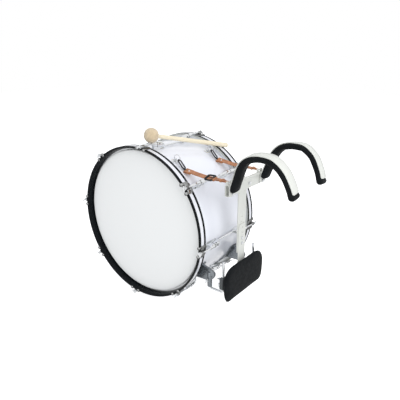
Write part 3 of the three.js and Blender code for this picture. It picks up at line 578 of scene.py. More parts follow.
# Plain finishes. Each has its colour's field and shade, roughness, metal and other sockets. Then come its tint
# (noise, range and the shades across it), its gloss (noise, range and roughness across it) and its bumps
# (noise or cells, strength and distance). Noise is (scale, detail, roughness, stretch, distortion).
PLAIN_FINISHES = {
    "wrap": (
        "wrap", 1, 0.16, 0, {"Coat Weight": 0.35, "Coat Roughness": 0.06},
        ((5.5, 2), 0.3, 0.7, 0.985, 1.01), ((34, 4), 0.35, 0.7, 0.13, 0.22), (((420, 2), 0.05, 0.0004),)),
    "head_film": (
        "film", 1, 0.42, 0, {"Coat Weight": 0.1, "Coat Roughness": 0.35},
        ((3.2, 3), 0.3, 0.7, 0.985, 1.008), ((60, 4), 0.3, 0.7, 0.38, 0.5), (((900, 3), 0.12, 0.0003),)),
    "dark_lacquer": (
        "lacquer", 1, 0.22, 0, {"Specular IOR Level": 0.08},
        ((90, 4), 0.35, 0.75, 1, 2.2), ((150, 4), 0.35, 0.7, 0.18, 0.32),
        (((260, 3, 0.5, (0.3, 1, 1)), 0.06, 0.0004),)),
    "white_band": (
        "band", 1, 0.2, 0, {"Coat Weight": 0.4, "Coat Roughness": 0.08},
        ((40, 3), 0.3, 0.7, 0.97, 1), ((120, 3), 0.35, 0.7, 0.17, 0.28), ()),
    "bare_edge": (
        "bare", 1, 0.6, 0, {}, ((70, 4, 0.5, (6, 1, 1)), 0.3, 0.7, 0.82, 1), None, (((300, 3), 0.1, 0.0003),)),
    "aluminium": (
        "aluminium", 1, 0.4, 1, {}, None, ((300, 3), 0.3, 0.7, 0.32, 0.5),
        (((900, 2, 0.5, (8, 1, 1)), 0.1, 0.0002),)),
    "dark_steel": (
        "dark_steel", 1, 0.32, 0, {"Specular IOR Level": 0.3},
        ((200, 4), 0.45, 0.8, 1, 2.6), ((260, 4), 0.3, 0.75, 0.24, 0.44), (((700, 3), 0.1, 0.0003),)),
    "carrier_paint": (
        "paint", 1, 0.36, 0, {"Coat Weight": 0.15, "Coat Roughness": 0.2},
        ((26, 4), 0.3, 0.75, 0.965, 1.01), ((90, 4), 0.3, 0.7, 0.3, 0.44), ((900, 0.12, 0.0003),)),
    "black_plastic": (
        "plastic", 1, 0.45, 0, {"Specular IOR Level": 0.2}, None, ((200, 4), 0.3, 0.7, 0.38, 0.55),
        (((2200, "F1"), 0.2, 0.0002),)),
    "pad_skin": (
        "foam", 1, 0.55, 0, {"Specular IOR Level": 0.07},
        ((38, 4), 0.35, 0.75, 1, 1.5), ((120, 4), 0.3, 0.7, 0.46, 0.64),
        (((55, 3), 0.25, 0.0016), (1300, 0.3, 0.0003))),
    "leather": (
        "leather", 1, 0.5, 0, {"Coat Weight": 0.12, "Coat Roughness": 0.3},
        ((95, 5, 0.6), 0.28, 0.72, 0.62, 1.3), ((240, 4), 0.3, 0.7, 0.4, 0.62),
        ((1500, 0.35, 0.0003), ((180, 4), 0.25, 0.0006))),
    "leather_edge": (
        "leather", 0.45, 0.7, 0, {}, ((300, 3), 0.3, 0.7, 0.35, 0.6), None, (((900, 3), 0.4, 0.0003),)),
    "pale_wood": (
        "wood", 1, 0.42, 0, {"Specular IOR Level": 0.35},
        ((60, 6, 0.62, (1.1, 7.5, 7.5), 0.6), 0.3, 0.72, 0.8, 1.08), ((110, 3), 0.3, 0.7, 0.36, 0.52),
        (((60, 6, 0.62, (1.1, 7.5, 7.5), 0.6), 0.12, 0.0004),)),
    "felt": (
        "felt", 1, 0.95, 0, {"Sheen Weight": 0.5, "Sheen Roughness": 0.6},
        ((75, 6, 0.7), 0.3, 0.72, 0.78, 1.14), None,
        (((420, 6, 0.75), 0.7, 0.0016), ((1600, 3, 0.7), 0.6, 0.0006))),
}

# Polished finishes: colour field, roughness, painted reflection tones across the curve (from facing the camera to
# the grazing rim), and painted reflection tones of floor and sky from looking down to looking up
PLATED_FINISHES = {
    "chrome": (
        "chrome", 0.12, ((0, 1.0), (0.2, 0.85), (0.4, 0.5), (0.6, 0.22), (0.8, 0.12), (1, 0.4)),
        ((0, 0.4), (0.3, 0.3), (0.46, 0.2), (0.54, 0.7), (0.72, 0.95), (1, 0.7))),
    "claw_chrome": (
        "chrome", 0.14, ((0, 0.95), (0.2, 0.8), (0.4, 0.5), (0.6, 0.26), (0.8, 0.16), (1, 0.5)),
        ((0, 0.45), (0.3, 0.42), (0.46, 0.32), (0.54, 0.72), (0.72, 0.92), (1, 0.7))),
    "zinc_plate": (
        "zinc", 0.3, ((0, 1.0), (0.3, 0.8), (0.7, 0.45), (1, 0.6)), ((0, 0.6), (0.4, 0.7), (0.6, 1.0), (1, 0.9))),
}


def plain_finish(name, colours):
    """A finish of the first table."""
    field, darker, roughness, metallic, sockets, tint, gloss, bumps = PLAIN_FINISHES[name]
    base = tuple(getattr(colours, field))
    n = Nodes(name, shade(base, darker), roughness, metallic, sockets)
    if tint:
        spec, low, high, a, b = tint
        n.link(n.stops(n.noise(*spec), ((low, shade(base, a)), (high, shade(base, b)))), n.shader["Base Color"])
    if gloss:
        n.gloss(n.noise(*gloss[0]), *gloss[1:])
    for spec, strength, distance in bumps:
        if not isinstance(spec, tuple):
            value = n.cells(spec)
        else:
            value = n.cells(*spec) if isinstance(spec[1], str) else n.noise(*spec)
        n.bump(value, strength, distance)
    return n.material


def plated_finish(name, colours):
    """Polished plating, with painted reflections (a darker band towards the grazing rim, a dark floor below and a
    bright sky above), smears and fine waves.
    """
    field, rough, rim_reflection_tones, sky_reflection_tones = PLATED_FINISHES[name]
    base = tuple(getattr(colours, field))
    n = Nodes(name, base, rough, 1, {})
    wave = n.noise(55)
    # Painted reflection: the colour darkens towards the grazing rim and, by whether the face points up or down,
    # shows a dark floor below the horizon and a bright sky above it.
    rim_reflection_share = n.shifted(n.node("LayerWeight").outputs["Facing"], wave, 0.15)
    normal = n.node("SeparateXYZ", None, {0: n.node("NewGeometry").outputs["Normal"]}).outputs["Z"]
    upward = n.shifted(n.spread(normal, -1, 1, 0, 1), wave, 0.1)
    n.link(n.times(n.times(n.stops(rim_reflection_share, rim_reflection_tones), n.stops(upward, sky_reflection_tones)), base), n.shader["Base Color"])
    n.gloss(n.noise(240, 4), 0.35, 0.75, rough * 0.7, rough * 1.5)
    n.bump(n.noise(380, 2), 0.05, 0.0003)
    return n.material


def finish(name):
    """The material of that name, made the first time."""
    found = bpy.data.materials.get(name)
    if found:
        return found
    maker = plated_finish if name in PLATED_FINISHES else plain_finish
    return maker(name, bpy.context.scene.drum_colours)


# Small parts that several pieces share

def capsule(half, radius):
    """A round bar along X with domed ends."""
    dome = [(radius * math.sin(a), radius * math.cos(a)) for a in (math.radians(d) for d in (22, 45, 67))]
    flat = half - radius
    profile = [(-half, 0)]
    profile += [(-flat - x, r) for x, r in reversed(dome)]
    profile += [(-flat, radius), (flat, radius)]
    profile += [(flat + x, r) for x, r in dome]
    profile.append((half, 0))
    return lathe(profile, 16, closed=False)


def dome_screw(radius, height):
    """A domed screw head standing on the plane z = 0."""
    profile = [(0, 0), (0, radius)]
    profile += [
        (height * math.sin(math.radians(d)), radius * math.cos(math.radians(d)) ** 0.6)
        for d in (15, 35, 55, 72)]
    profile.append((height, 0))
    return lathe(profile, 20, closed=False).moved(turn(-90, "Y"))


def hex_bolt(radius, height):
    """A six-sided bolt head on a round washer, standing on the plane z = 0."""
    form = sheet_form(circle(radius, 6), height).moved(shift(z=0.2 * height))
    form.add(sheet_form(circle(radius * 1.12, 24), 0.24 * height))
    form.add(sheet_form(circle(radius * 0.72, 20), 0.12 * height), shift(z=1.18 * height))
    return form


def through_bolt(front, height):
    """A bolt head on the plane y = front, and its end behind the upright."""
    back = facing(hex_bolt(5.6 * MM, 3 * MM), 0).moved(turn(180, "Z"))
    return facing(hex_bolt(6 * MM, height), front).add(back, shift(y=BOLT_END_PLANE))


def wing_screw(stem, turned):
    """A wing screw along X with its tip at zero: stem, hub and two rounded wings."""
    radius, hub, hub_length = 2.5 * MM, 4.5 * MM, 6 * MM
    form = lathe([
        (0, 0), (0, radius * 0.8), (0.6 * MM, radius), (stem, radius), (stem, hub), (stem + hub_length * 0.8, hub),
        (stem + hub_length, hub * 0.7), (stem + hub_length, 0)], 18, closed=False)
    wing = [(-1 * MM, 0), *[
        (2.6 * MM + 4.4 * MM * math.sin(a), 7 * MM - 4 * MM * math.cos(a))
        for a in (math.radians(20 + 22 * k) for k in range(9))], (-1 * MM, 6 * MM)]
    blade = sheet_form(wing, 2.6 * MM).moved(shift(x=stem + 1 * MM, z=-1.3 * MM))
    form.add(blade).add(blade, turn(180, "X"))
    return form.moved(turn(turned, "X"))


def hole(radius, centre, steps=24):
    """Outline of a round hole."""
    return circle(radius, steps, centre=centre)


def facing(form, y):
    """Stands a form drawn on X and Y upright: its Y becomes Z, and its height runs from y towards the player."""
    return form.moved(shift(y=y) @ turn(90, "X"))


# The drum's pieces

# Sections of a lug's body in millimetres: behind its end, height of the middle, half height and half width
LUG_STATIONS = (
    (0, 304.9, 4.0, 4.4), (1.5, 304.7, 4.8, 5.0), (7, 303.4, 6.2, 6.3), (17, 300.9, 8.6, 7.4),
    (26, 299.0, 10.4, 8), (34, 297.8, 11.6, 8.2), (48, 296.6, 12.4, 8.2), (56, 294.4, 11.8, 8),
    (63, 291.0, 9.4, 7.2), (68, 288.0, 6.6, 5.6), (71.5, 286.4, 4.4, 4.2), (73, 286, 3.2, 3.3),
)


# Behind a lug's end: the dark ring of painted shade round its nose, and its two screws
LUG_SHADE_RING, LUG_SCREW = 27 * MM, 38 * MM


def lug_ring(x, centre, tall, wide):
    """A ring round a lug's body, between an oval and a box; centre, tall and wide are in millimetres."""
    def full(value):
        return math.copysign(abs(value) ** 0.8, value)
    return [
        Vector((x, wide * MM * full(math.cos(a)), (centre + tall * full(math.sin(a))) * MM))
        for a in (2 * math.pi * (j + 0.5) / 24 for j in range(24))]


def lug_form(sizes):
    """A lug: a foot plate, a short web and a rounded body that tapers to the rod and to the tube."""
    outer, long = sizes.lug_outer, sizes.lug_length
    seat = sizes.shell_radius - 0.2 * MM
    middle = outer - long / 2
    foot = sheet_form(rounded(long - 8 * MM, 19 * MM, 8 * MM), 2.6 * MM)
    form = on_drum(foot.moved(shift(middle, 0, seat)), sizes.shell_radius)
    form.add(sheet_form(rounded(long - 16 * MM, 11 * MM, 5.4 * MM), 17 * MM), shift(middle, 0, seat))
    return form.add(skin([lug_ring(outer - reach * MM, *rest) for reach, *rest in LUG_STATIONS]))


def lug_shade_ring_and_screws(sizes):
    """A dark ring of painted shade round the gap behind a lug's nose, and the dark sunk screws on its two sides.
    """
    x = sizes.lug_outer - LUG_SHADE_RING
    # Painted shade: a thin dark band, barely proud of the body, stands in for the shade in the gap behind the
    # nose.
    form = skin([
        lug_ring(x - reach * MM, 298.9, 10.5 + grow, 8 + grow)
        for reach, grow in ((-1.1, 0.05), (-0.9, 0.4), (0.9, 0.4), (1.1, 0.05))])
    spot = shift(sizes.lug_outer - LUG_SCREW, 0, 302 * MM)
    for side in (-90, 90):
        form.add(dome_screw(3 * MM, 1.1 * MM), spot @ turn(side, "X") @ shift(z=7.7 * MM))
    return form


class DRUM_OT_shell(Operator):
    """Wrapped shell with its seam and sixteen lugs"""

    bl_idname = "drum.shell"
    bl_label = "Shell and Lugs"

    def execute(self, context):
        sizes = context.scene.drum_sizes
        outer, end, wall = sizes.shell_radius, sizes.shell_half, sizes.shell_wall
        tube = lathe([
            (-end, outer - 3 * MM), (-end + 3 * MM, outer - 0.4 * MM), (-end + 5 * MM, outer),
            (end - 5 * MM, outer), (end - 3 * MM, outer - 0.4 * MM), (end, outer - 3 * MM), (end, outer - wall),
            (-end, outer - wall)], 240)
        piece("shell_wrap", tube, ["wrap"], "drum", ["shell"], sharp=50)
        reach = sizes.hoop_back - 0.5 * MM
        seam = on_drum(block((-reach, -0.9 * MM, outer - 0.3 * MM), (reach, 0.9 * MM, outer + 0.35 * MM)), outer)
        seam_angle = math.degrees(STATION_TURN) + 90
        piece("wrap_seam", seam.moved(turn(seam_angle, "X")), ["aluminium"], "drum", bevel=0.2 * MM)
        for side_name, side in SIDES:
            for k in range(STATIONS):
                spot = station(side, k)
                # marks holds each lug's dark ring of painted shade and its screws.
                lug, marks = lug_form(sizes).moved(spot), lug_shade_ring_and_screws(sizes).moved(spot)
                piece(f"{side_name}_lug_{k + 1}", lug, ["chrome"], "drum", sharp=40)
                piece(f"{side_name}_lug_screws_{k + 1}", marks, ["dark_steel"], "drum", sharp=40)
        reach = sizes.lug_outer - sizes.lug_length
        for k in range(STATIONS):
            spot = station(1, k) @ shift(z=sizes.lug_tube_radius)
            tube = cylinder(-reach, reach, sizes.lug_tube / 2, 20).moved(spot)
            piece(f"lug_tube_{k + 1}", tube, ["chrome"], "drum")
        return {"FINISHED"}


# Profiles in millimetres: (behind the head's face, radius) and (from the drum's middle, radius)
HEAD_PROFILE = (
    (0, 0), (0, 90), (0, 180), (0, 260), (0, 276.5), (0.5, 278.8), (1.6, 280.3), (3.5, 281), (13, 281),
    (13, 279.8), (3.5, 279.8), (1.2, 277), (1.2, 0),
)
FLESH_HOOP_PROFILE = ((144, 281.3), (144, 289.5), (142.5, 291.3), (137.5, 291.3), (136, 289.5), (136, 281.3))


class DRUM_OT_heads(Operator):
    """Both heads with their collars and flesh hoops"""

    bl_idname = "drum.heads"
    bl_label = "Heads"

    def execute(self, context):
        sizes = context.scene.drum_sizes
        face = sizes.head_face
        for side_name, side in SIDES:
            film = lathe([(side * (face - x * MM), r * MM) for x, r in HEAD_PROFILE], 240, closed=False)
            piece(f"{side_name}_head_skin", film, ["head_film"], "drum", [f"{side_name}_head"],
                  sharp=60)
            ring = lathe([(side * x * MM, r * MM) for x, r in FLESH_HOOP_PROFILE], 192)
            piece(f"{side_name}_flesh_ring", ring, ["aluminium"], "drum", [f"{side_name}_flesh_hoop"],
                  bevel=0.5 * MM)
        return {"FINISHED"}


# From the drum's middle to the ledge that a hoop sets on the flesh hoop
HOOP_LEDGE = 144.3 * MM


def hoop_form(sizes, side):
    """A counterhoop; its marks are 0 for dark lacquer, 1 for the white band and 2 for the bare rear edge."""
    front, back = sizes.hoop_front, sizes.hoop_back
    outer, bore, lip = sizes.hoop_radius, sizes.hoop_bore, sizes.hoop_lip
    band_front, band_back = front - sizes.front_band, back + sizes.rear_band
    groove = 0.35 * MM
    rows = [
        (front, outer - 1.4 * MM, 0), (front - 0.4 * MM, outer - 0.4 * MM, 0),
        (front - 1.4 * MM, outer, 0), (band_front + groove, outer, 0), (band_front, outer - groove, 1),
        (band_back, outer - groove, 0), (band_back - groove, outer, 0), (back + 0.8 * MM, outer, 0),
        (back, outer - 0.8 * MM, 2), (back, bore, 2), (HOOP_LEDGE, bore, 0), (HOOP_LEDGE, lip, 0)]
    wide, deep = outer - 1.4 * MM - lip, 17 * MM
    rows += [
        (front - deep * (1 - math.sin(a)), lip + wide * (1 - math.cos(a)), 0)
        for a in (math.radians(d) for d in range(0, 90, 10))]
    return lathe([(side * x, r) for x, r, _ in rows], 240, [m for _, _, m in rows])


def claw_form(sizes):
    """A claw: a saddle on the hoop, two prongs that end in round pads on its front, and a boss for the rod."""
    outer, front, back = sizes.hoop_radius, sizes.hoop_front, sizes.hoop_back
    flat = outer + 0.2 * MM
    half = sizes.claw_spacing / 2 + sizes.prong_width / 2
    outline = [(back + 1 * MM, -half * 0.5), (back + 4 * MM, -half * 0.78), (back + 11 * MM, -half)]
    outline += [(front - 8 * MM, -half), (front - 8 * MM, half)]
    outline += [(x, -y) for x, y in reversed(outline[:3])]
    form = on_drum(sheet_form(outline, 2.6 * MM).moved(shift(z=flat)), outer)
    for across in (-sizes.claw_spacing / 2, sizes.claw_spacing / 2):
        corner, top = 2.3 * MM, outer + 1.7 * MM
        bend = [(front - 10 * MM, top), (front + 0.2 * MM, top)]
        bend += [
            (front + 0.2 * MM + corner * math.sin(a), outer - 0.6 * MM + corner * math.cos(a))
            for a in (math.radians(d) for d in (25, 50, 75))]
        bend += [(front + 2.6 * MM, outer - 2 * MM)]
        line = [Vector((x, 0, r)) for x, r in bend]
        width = sizes.prong_width / 2
        section = [(-width, -1.5 * MM), (width, -1.5 * MM), (width * 0.86, 1.5 * MM), (-width * 0.86, 1.5 * MM)]
        spot = turn(math.degrees(-across / outer), "X")
        form.add(sweep(line, section, (0, 1, 0)), spot)
        disc = lathe([
            (0.9 * MM, 0), (0.9 * MM, 6 * MM), (3.1 * MM, 6 * MM), (3.9 * MM, 5 * MM), (4.3 * MM, 2.6 * MM),
            (4.4 * MM, 0)], 28, closed=False)
        form.add(disc, spot @ shift(x=front, z=outer - 2.8 * MM))
    boss = [(-7.5 * MM, outer + 1.5 * MM), (7.5 * MM, outer + 1.5 * MM)]
    boss += circle(6.2 * MM, 8, 0, math.pi, (0, sizes.rod_circle - 0.4 * MM))
    return form.add(slab(boss, front - 14 * MM, front))


class DRUM_OT_hoops(Operator):
    """Both counterhoops with their claws"""

    bl_idname = "drum.hoops"
    bl_label = "Hoops and Claws"

    def execute(self, context):
        sizes = context.scene.drum_sizes
        for side_name, side in SIDES:
            finishes = ["dark_lacquer", "white_band", "bare_edge"]
            piece(f"{side_name}_hoop_ring", hoop_form(sizes, side), finishes, "drum",
                  [f"{side_name}_hoop"], sharp=30)
            for k in range(STATIONS):
                claw = claw_form(sizes).moved(station(side, k))
                piece(f"{side_name}_claw_{k + 1}", claw, ["claw_chrome"], "drum", bevel=0.7 * MM,
                      sharp=30)
        return {"FINISHED"}


# From the drum's middle to a rod's tip and along its thread
ROD_TIP, THREAD_START, THREAD_END, THREAD_PITCH = 88 * MM, 89 * MM, 150 * MM, 1 * MM


def rod_form(sizes, turned):
    """A tension rod: threaded shank, washer, collar and cross handle, along X from inside the lug."""
    radius = sizes.rod_diameter / 2
    front = sizes.hoop_front
    profile = [(ROD_TIP, 0), (ROD_TIP, radius * 0.8)]
    x = THREAD_START
    while x < THREAD_END:
        profile += [(x, radius), (x + THREAD_PITCH / 2, radius * 0.86)]
        x += THREAD_PITCH
    profile += [(151 * MM, radius), (front + 0.3 * MM, radius)]
    profile += [(front + 0.3 * MM, 6.4 * MM), (front + 1.5 * MM, 6.4 * MM), (front + 1.5 * MM, 4.2 * MM)]
    profile += [(front + 4.6 * MM, 4.2 * MM), (front + 5.6 * MM, 3.4 * MM), (front + 8 * MM, 3.2 * MM)]
    profile += [(front + 8 * MM, 0)]
    form = lathe(profile, 16, closed=False)
    axis = front + 5.3 * MM + sizes.handle_diameter / 2
    bar = capsule(sizes.handle_length / 2, sizes.handle_diameter / 2 * 0.94).moved(turn(90, "Z"))
    form.add(bar, shift(x=axis))
    return form.moved(shift(z=sizes.rod_circle) @ turn(turned, "X"))


class DRUM_OT_rods(Operator):
    """Sixteen tension rods, each turning on its own"""

    bl_idname = "drum.rods"
    bl_label = "Tension Rods"

    def execute(self, context):
        sizes = context.scene.drum_sizes
        for side_name, side in SIDES:
            for k in range(STATIONS):
                name = f"{side_name}_rod_{k + 1}"
                rod = rod_form(sizes, HANDLE_TURNS[k]).moved(station(side, k))
                piece(f"{side_name}_tension_rod_{k + 1}", rod, ["chrome"], name, [name], sharp=35)
        return {"FINISHED"}


# Strap fittings, drawn in a frame on the shell whose Z points away from the drum's axis

STRAP_PLATE_ANGLE = 26.8
RING_CENTRE = Vector((0, -6.106 * MM, 297.277 * MM))
RING_GRIP = Vector((0, -18.322 * MM, 292.831 * MM))
SNAP_DIP = 20
PIN_RADIUS = 290 * MM


def ring_form(radius, wire):
    """A round wire ring in the YZ plane."""
    line = [Vector((0, y, z)) for y, z in circle(radius, 48)]
    return sweep(line, circle(wire / 2, 14), (1, 0, 0), closed=True)


def strap_plate_form(sizes):
    """A plate on the shell with two domed screws and a bail for the ring."""
    outline = rounded(30 * MM, 20 * MM, 6 * MM)
    form = on_drum(sheet_form(outline, 2 * MM).moved(shift(z=sizes.shell_radius)), sizes.shell_radius)
    for x in (-10.5 * MM, 10.5 * MM):
        form.add(dome_screw(3.2 * MM, 1.7 * MM), shift(x, 0, sizes.shell_radius + 1.9 * MM))
    ear_radius = 2.8 * MM
    centre = PIN_RADIUS + 2.6 * MM - ear_radius
    foot = sizes.shell_radius + 1.2 * MM
    for end in (-1, 1):
        ear = [(-3.6 * MM, foot), (3.6 * MM, foot)] + circle(ear_radius, 10, 0, math.pi, (0, centre))
        x = end * 3.75 * MM
        form.add(slab(ear, x - 1.15 * MM, x + 1.15 * MM))
    return form.add(cylinder(-5.6 * MM, 5.6 * MM, 1.6 * MM, 16), shift(z=PIN_RADIUS))


def snap_hook_form():
    """An oval link with a sprung gate, and the swivel eye that the leather holds."""
    bow, straight = 6.2 * MM, 26 * MM
    line = [Vector((x, y, 0)) for x, y in circle(bow, 14, 0, math.pi)]
    line += [Vector((x, y - straight, 0)) for x, y in circle(bow, 14, math.pi, 2 * math.pi)]
    form = sweep(line, circle(3.1 * MM, 12), (0, 0, 1), closed=True)
    gate = lathe([
        (-20 * MM, 0), (-20 * MM, 3.2 * MM), (-4.5 * MM, 3.2 * MM), (-3.4 * MM, 2.7 * MM), (-3.4 * MM, 0)], 16,
        closed=False).moved(turn(90, "Z"))
    form.add(gate, shift(x=bow))
    collar = lathe([
        (-2 * MM, 0), (-2 * MM, 4 * MM), (0, 5 * MM), (4.2 * MM, 5 * MM), (5.6 * MM, 4 * MM), (5.6 * MM, 0)],
        20, closed=False).moved(turn(-90, "Z"))
    form.add(collar, shift(y=-straight - bow + 0.4 * MM))
    flat = Matrix.Diagonal((1, 1, 0.62, 1))
    return form.moved(shift(z=1.7 * MM) @ turn(SNAP_DIP, "X") @ shift(y=4 * MM - bow) @ flat)


class DRUM_OT_strap_fittings(Operator):
    """Plates, rings and snap hooks that hold the straps to the shell"""

    bl_idname = "drum.strap_fittings"
    bl_label = "Strap Rings and Hooks"

    def execute(self, context):
        sizes, carrier = context.scene.drum_sizes, context.scene.carrier_sizes
        for side_name, side in SIDES:
            spot = shift(x=side * carrier.strap_spread) @ turn(STRAP_PLATE_ANGLE, "X")
            piece(f"{side_name}_ring_plate", strap_plate_form(sizes).moved(spot), ["chrome"], "drum",
                  [f"{side_name}_strap_plate"], bevel=0.4 * MM)
            ring = ring_form(13 * MM, 2.9 * MM).moved(spot @ Matrix.Translation(RING_CENTRE))
            piece(f"{side_name}_round_ring", ring, ["chrome"], f"{side_name}_ring",
                  [f"{side_name}_strap_ring"], sharp=70)
            hook = snap_hook_form().moved(spot @ Matrix.Translation(RING_GRIP))
            piece(f"{side_name}_hook_link", hook, ["dark_steel"], f"{side_name}_hook",
                  [f"{side_name}_snap_hook"], sharp=40)
        return {"FINISHED"}


def flat_section(width, thickness):
    """Section of a strap: flat with softened edges, as (side, out) pairs."""
    w, t = width / 2, thickness / 2
    c = 0.35 * thickness
    return [(-w + c, -t), (w - c, -t), (w, -t + c), (w, t - c), (w - c, t), (-w + c, t), (-w, t - c), (-w, -t + c)]


class StrapPath:
    """The line of a leather strap from its snap hook (0) to the crossbar (1), rolled a little on its way."""

    def __init__(self, x, roll):
        self.points = smooth_line(side_line(STRAP_LINE, x), 240)
        self.roll = math.radians(roll)

    def frame(self, t):
        """Point, direction along the strap, direction across it and direction out of its upper face."""
        last = len(self.points) - 1
        k = t * last
        a = max(0, min(last - 1, int(k)))
        point = self.points[a].lerp(self.points[a + 1], k - a)
        b, c = self.points[max(a - 4, 0)], self.points[min(a + 5, last)]
        along = (c - b).normalized()
        up = Vector((0, along.z, -along.y))
        across = along.cross(up)
        roll = self.roll * max(0, min(1, (0.8 - t) / 0.25))
        side, out = math.cos(roll), math.sin(roll)
        return point, along, across * side - up * out, up * side + across * out

    def run(self, start, end, lift, steps):
        """Points along the strap, raised off its middle, each with the direction across."""
        result = []
        for k in range(steps + 1):
            point, _, across, up = self.frame(start + (end - start) * k / steps)
            result.append((point + up * lift, across))
        return result

    def fold(self, t, radius):
        """A half turn of leather round a bar at t, from the lower ply to the upper one."""
        point, along, across, up = self.frame(t)
        return [
            (point + up * radius * math.cos(a) - along * radius * math.sin(a), across)
            for a in (math.pi * k / 12 for k in range(11, 0, -1))]

    def spot(self, t, lift=0):
        """A matrix at t whose Y runs along the strap and whose Z points out of its upper face."""
        point, along, across, up = self.frame(t)
        matrix = Matrix((across, along, up)).transposed().to_4x4()
        return Matrix.Translation(point + up * lift) @ matrix


def ply(line, width, thickness, point=0, flare=0, flare_share=0):
    """A leather ply. Its tail may end in a point and its front may flare. Marks: 0 the faces, 1 the cut edges."""
    rings = []
    last = len(line) - 1
    for k, (spot, across) in enumerate(line):
        t = k / last
        wide = width
        if point and t > 1 - point:
            wide *= max(0.12, math.sqrt(max(0.0, 1 - ((t - 1 + point) / point) ** 2)))
        if t < flare_share:
            wide += flare * (0.5 + 0.5 * math.cos(math.pi * t / flare_share))
        along = (line[min(k + 1, last)][0] - line[max(k - 1, 0)][0]).normalized()
        out = along.cross(across).normalized()
        rings.append([spot + across * u + out * v for u, v in flat_section(wide, thickness)])
    form = skin(rings)
    sides = len(rings[0])
    for index in range(last * sides):
        form.marks[index] = 1 if index % sides in (2, 6) else 0
    return form


def keeper_form(width, height, length_along):
    """A loop of leather round the strap."""
    thick = 1.4 * MM
    outline = rounded(width, height, 1.6 * MM, 3)
    inner = rounded(width - 2 * thick, height - 2 * thick, 0.9 * MM, 3)
    return sheet_form(outline, length_along, [inner]).moved(turn(90, "X") @ shift(z=-length_along / 2))


def buckle_form(width, long, wire):
    """A frame with a bar across its middle, a roller at its end and a prong."""
    outline = rounded(width, long, 4 * MM, 4)
    line = [Vector((x, y, 0)) for x, y in outline]
    form = sweep(line, circle(wire / 2, 10), (0, 0, 1), closed=True)
    bar = long / 2 - 7 * MM
    form.add(cylinder(-width / 2, width / 2, 1.2 * MM, 12), shift(y=bar))
    form.add(cylinder(-width / 2 + 4 * MM, width / 2 - 4 * MM, wire * 0.74, 14), shift(y=-long / 2))
    tongue = [
        Vector((0, bar, 1.2 * MM)), Vector((0, long / 4 - 4 * MM, 2.3 * MM)),
        Vector((0, -long / 4, 2.6 * MM)), Vector((0, -long / 2 + 1 * MM, 3.2 * MM)),
        Vector((0, -long / 2 - 1.4 * MM, 2.8 * MM))]
    form.add(sweep(tongue, circle(1.1 * MM, 8), (1, 0, 0)))
    return form


# Places along a strap, as shares of its length: where its front part is folded, turned back and riveted, where it
# rises over the buckle's frame and ends, and where its rear part runs
STRAP_FOLD, STRAP_TURNED_BACK, STRAP_RIVET = 0.012, 0.17, 0.105
STRAP_BUCKLE, STRAP_RISE, STRAP_OVER, STRAP_TAIL = 0.605, 0.60, 0.62, 0.93
REAR_START, REAR_END = 0.575, 0.985
STRAP_KEEPERS = (0.70, 0.86)
STRAP_HOLES = (0.655, 0.745, 0.79)


class DRUM_OT_straps(Operator):
    """Leather straps with their folds, rivets, buckles and keepers"""

    bl_idname = "drum.straps"
    bl_label = "Leather Straps"

    def execute(self, context):
        carrier = context.scene.carrier_sizes
        width, thick = carrier.strap_width, carrier.strap_thickness
        for side_name, side in SIDES:
            path = StrapPath(side * carrier.strap_spread, carrier.strap_roll)
            plies = thick * 0.56
            over = plies * 1.15

            def part(name, form, finishes, replaces=(), bevel=0):
                """A piece of the strap, drawn in place without a body."""
                thing = piece(f"{side_name}_{name}", form, finishes, None, replaces, bevel=bevel, sharp=40)
                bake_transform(thing)

            front = path.run(STRAP_TURNED_BACK, STRAP_FOLD, -plies, 12) + path.fold(STRAP_FOLD, plies)
            front += path.run(STRAP_FOLD, STRAP_RISE, plies, 60) + path.run(STRAP_OVER, STRAP_TAIL, over, 30)
            main = ply(front, width, thick, point=0.035, flare=7 * MM, flare_share=0.42)
            part("front_strap", main, ["leather", "leather_edge"], [f"{side_name}_strap"])
            billet = ply(path.run(REAR_START, REAR_END, -plies, 40), width, thick)
            part("rear_strap", billet, ["leather", "leather_edge"])
            rivet = dome_screw(3.6 * MM, 1.9 * MM).moved(path.spot(STRAP_RIVET, plies + thick / 2))
            rivet.add(dome_screw(3.6 * MM, 1.5 * MM), path.spot(STRAP_RIVET, -plies - thick / 2) @ turn(180, "X"))
            part("strap_rivet", rivet, ["chrome"])
            for k, t in enumerate(STRAP_KEEPERS):
                loop = keeper_form(width + 3.6 * MM, 2 * plies + thick + 3.4 * MM, 7 * MM).moved(path.spot(t))
                part(f"keeper_{k + 1}", loop, ["leather"], bevel=0.4 * MM)
            for k, t in enumerate(STRAP_HOLES):
                # Each hole is a thin disc in the darker colour of the cut edge. The disc also paints the shade
                # inside the hole.
                eye = lathe([(0, 0), (0, 1.7 * MM), (0.25 * MM, 1.5 * MM), (0.25 * MM, 0)], 16, closed=False)
                eye = eye.moved(path.spot(t, over + thick / 2) @ turn(-90, "Y"))
                part(f"strap_hole_{k + 1}", eye, ["leather_edge"])
            buckle = buckle_form(30 * MM, 28 * MM, 6 * MM).moved(path.spot(STRAP_BUCKLE, 2.4 * MM))
            part("roller_buckle", buckle, ["dark_steel"], [f"{side_name}_buckle"])
        return {"FINISHED"}


# The carrier

